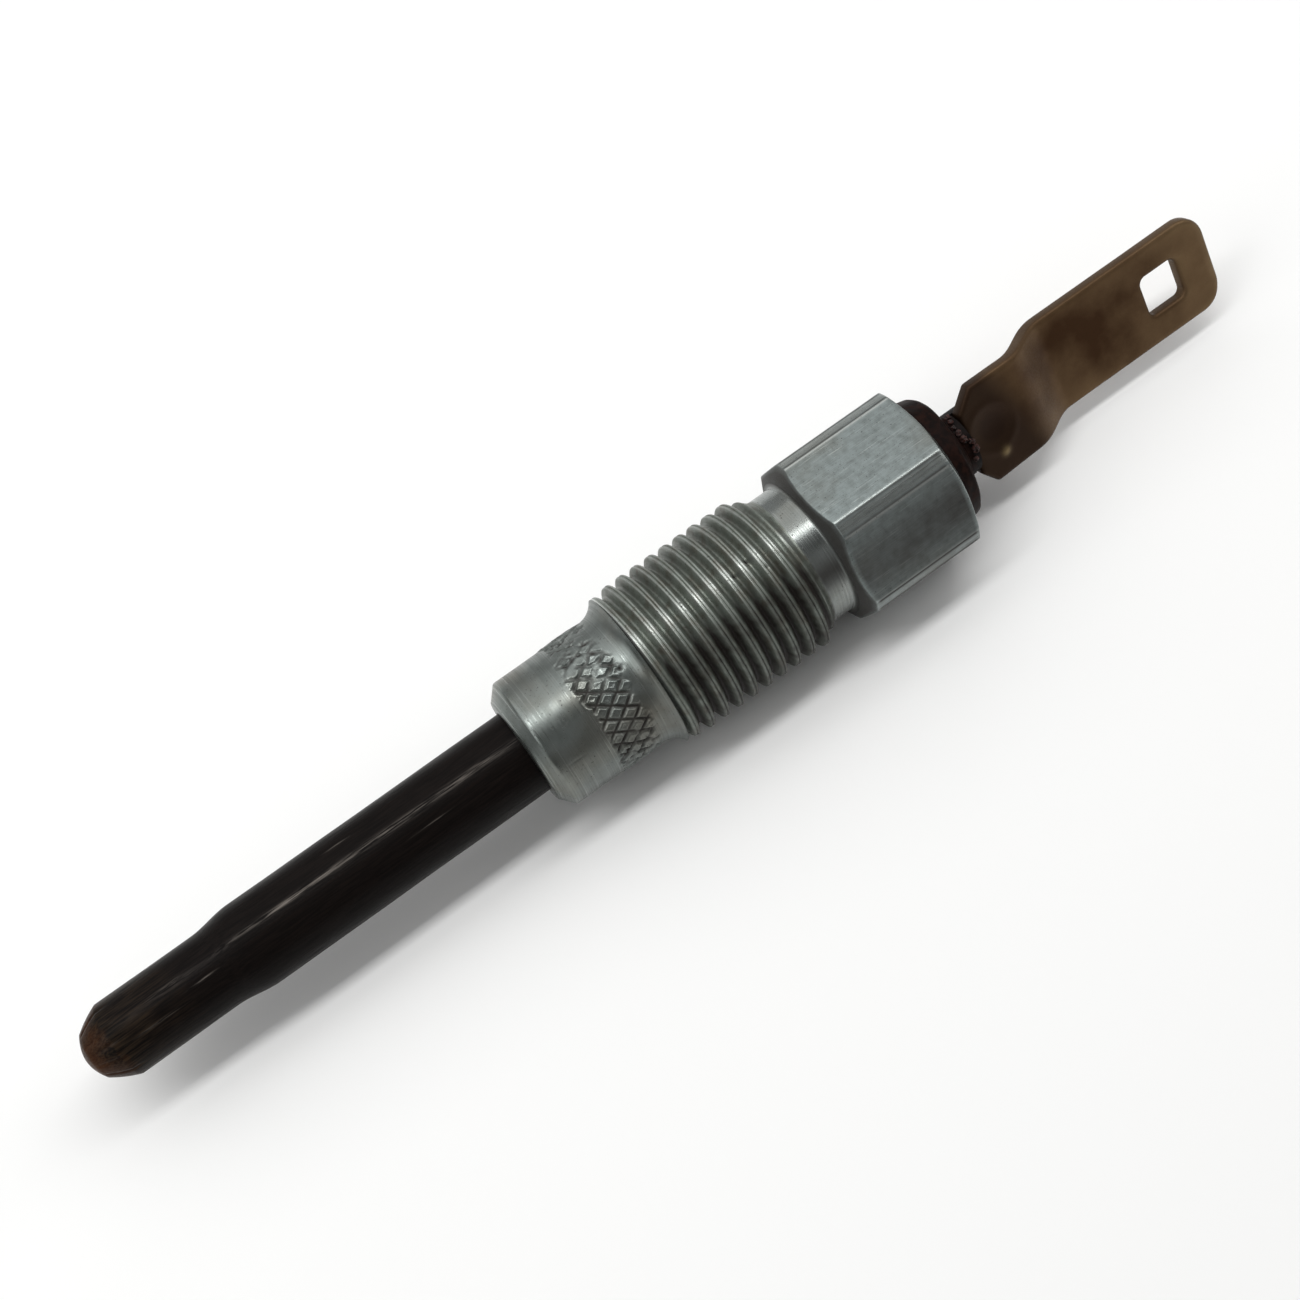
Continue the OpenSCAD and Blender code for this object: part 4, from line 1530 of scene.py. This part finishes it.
    def build(self) -> bpy.types.Object:
        """Builds and dresses the blade.

        Returns:
            The finished piece.
        """
        work = self.flat_mesh()
        flat = np.array([v.co for v in work.verts])
        x, y, _ = flat.T
        step = 0.01
        lean = np.arctan((self.middle(x + step) - self.middle(x - step)) / (2 * step))
        height = self.relief(flat)
        up = self.middle(x) + height * np.cos(lean)
        roll = math.radians(self.roll_deg)
        points = np.stack([
            x - height * np.sin(lean),
            y * math.cos(roll) - up * math.sin(roll),
            y * math.sin(roll) + up * math.cos(roll)], axis=-1)
        work.verts.index_update()
        faces = [[v.index for v in face.verts] for face in work.faces]
        work.free()
        piece = new_piece("plug_terminal_blade", points, faces, [TarnishedBrassStrip().material()], 40)
        self.shares(piece, x, y)
        hand_over(piece, "tarnished_tab", "terminal_blade")
        return piece


class InnerPieces(Enum):
    """CAD pieces that keep their shape, each with its finish."""

    # Scale from the heat: near black, without gloss.
    CENTRE_ELECTRODE = SpeckledSolid("oxidised_steel_rod", "#0E0A09", "#1E1513", 0.0, 0.6, 0.3, 0.01, 0.08)
    # Bare drawn wire: grey metal with a soft gloss.
    HEATING_COIL = SpeckledSolid("drawn_heating_wire", "#8F8B84", "#6E6A63", 1.0, 0.4, 0.2, 0.004)
    # Bare nickel: a little brighter and warmer than the heating wire.
    REGULATING_COIL = SpeckledSolid("drawn_nickel_wire", "#A29C90", "#7D776C", 1.0, 0.35, 0.2, 0.004)
    # Pressed powder: chalky off-white without gloss.
    MAGNESIA_FILL = SpeckledSolid("pressed_magnesia_powder", "#DAD6CD", "#C6C1B6", 0.0, 0.9, 0.15, 0.02)
    # Moulded rubber: dull dark grey, and a shade darker and smoother for the ring.
    TUBE_SEAL = SpeckledSolid("moulded_seal_rubber", "#26282A", "#323436", 0.0, 0.7, 0.3, 0.01)
    SEALING_RING = SpeckledSolid("moulded_ring_rubber", "#202123", "#2C2D2F", 0.0, 0.6, 0.3, 0.008)

    def dress(self) -> None:
        """Gives the CAD piece its finish."""
        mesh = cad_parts[self.name.lower()].data
        mesh.materials.clear()
        mesh.materials.append(self.value.material())
        log.info("%s dressed as %s", self.name.lower(), self.value.name)


@dataclass(frozen=True)
class Softbox:
    """A rectangular studio light that faces the plug."""

    name: str
    azimuth_deg: float
    elevation_deg: float
    distance: float
    width: float
    height: float
    radiance: float
    colour: str = "#FFFFFF"

    def build(self, target: Vector) -> None:
        """Hangs the light.

        Args:
            target: The point in metres that it faces.
        """
        data = bpy.data.lights.new(self.name, "AREA")
        data.shape = "RECTANGLE"
        data.size, data.size_y = self.width * MM, self.height * MM
        data.energy = math.pi * data.size * data.size_y * self.radiance
        data.color = linear(self.colour)[:3]
        lamp = bpy.data.objects.new(self.name, data)
        azimuth, elevation = math.radians(self.azimuth_deg), math.radians(self.elevation_deg)
        flat = math.cos(elevation)
        way = Vector((flat * math.sin(azimuth), -flat * math.cos(azimuth), math.sin(elevation)))
        lamp.location = target + way * self.distance * MM
        lamp.rotation_euler = way.to_track_quat("Z", "Y").to_euler()
        bpy.context.scene.collection.objects.link(lamp)


@dataclass
class Studio:
    """Pale floor, soft lights, and a camera that looks down on the plug as the photograph does."""

    image_px: float = 1300.0
    focal_px: float = 1900.0
    px_per_mm: float = 17.8
    sensor: float = 36.0
    axis_turn_deg: float = 35.3
    tilt_deg: float = 7.6
    side_deg: float = 28.5
    aim_x: float = 9.05
    axis_off: float = 0.56
    floor_half: float = 1500.0
    floor_gap: float = 0.006
    floor_colour: str = "#F8F8F7"
    world_colour: str = "#FFFFFF"
    world_strength: float = 0.12
    lights: list[Softbox] = field(default_factory=lambda: [
        Softbox("back_light", 180, 54, 260, 460, 220, 1.05),
        Softbox("rear_light", 180, 15, 260, 460, 140, 0.34),
        Softbox("top_light", 180, 87, 260, 420, 40, 7.5),
        Softbox("front_light", 0, 40, 300, 460, 170, 0.17),
        Softbox("left_light", -90, 35, 300, 220, 180, 2.0),
        Softbox("right_light", 90, 35, 300, 220, 180, 1.6),
    ])

    def floor(self) -> None:
        """Lays the floor under the lowest flat."""
        low = node_span("housing")[0][2] - self.floor_gap
        half = self.floor_half
        corners = np.array([(-half, -half, low), (half, -half, low), (half, half, low), (-half, half, low)])
        # Plain paper: pale and matt.
        paper = SpeckledSolid("floor_paper", self.floor_colour, self.floor_colour, 0.0, 0.9, 3.0, 0.001)
        new_piece("floor", corners, [[0, 1, 2, 3]], [paper.material()], 30)

    def camera(self) -> None:
        """Places the camera from the axis's slant in the image and the tilt towards the tip."""
        turn, tilt, side = (math.radians(a) for a in (self.axis_turn_deg, self.tilt_deg, self.side_deg))
        towards = Vector((-math.sin(tilt), -math.sin(side) * math.cos(tilt), math.cos(side) * math.cos(tilt)))
        down = Vector((0, -math.cos(side), -math.sin(side)))
        along = Vector((math.cos(tilt), -math.sin(tilt) * math.sin(side), math.sin(tilt) * math.cos(side)))
        right = along * math.cos(turn) + down * math.sin(turn)
        up = along * math.sin(turn) - down * math.cos(turn)
        target = (Vector((self.aim_x, 0, 0)) - down * self.axis_off) * MM
        data = bpy.data.cameras.new("camera")
        data.sensor_width = self.sensor
        data.lens = self.sensor * self.focal_px / self.image_px
        data.clip_start = 0.005
        camera = bpy.data.objects.new("camera", data)
        placed = Matrix((right, up, towards)).transposed().to_4x4()
        placed.translation = target + towards * self.focal_px / self.px_per_mm * MM
        camera.matrix_world = placed
        bpy.context.scene.collection.objects.link(camera)
        bpy.context.scene.camera = camera

    def build(self) -> None:
        """Sets up floor, lights, world and camera."""
        self.floor()
        for light in self.lights:
            light.build(Vector((self.aim_x * MM, 0, 0)))
        world = bpy.data.worlds.new("studio")
        world.use_nodes = True
        world.node_tree.nodes.clear()
        add = partial(add_node, world.node_tree)
        sky = add("Background", {"Color": linear(self.world_colour), "Strength": self.world_strength})
        add("OutputWorld", {"Surface": sky})
        bpy.context.scene.world = world
        bpy.context.scene.view_settings.view_transform = "Standard"
        self.camera()


def main() -> None:
    """Builds the plug and the studio."""
    logging.basicConfig(level=logging.INFO, format="%(name)s: %(message)s")
    Studio().build()
    for maker in (HousingNose(), HousingBody(), HeaterTube(), Insulator(), TerminalBlade()):
        maker.build()
    for piece in InnerPieces:
        piece.dress()
    bpy.context.view_layer.update()


if __name__ == "__main__":
    main()
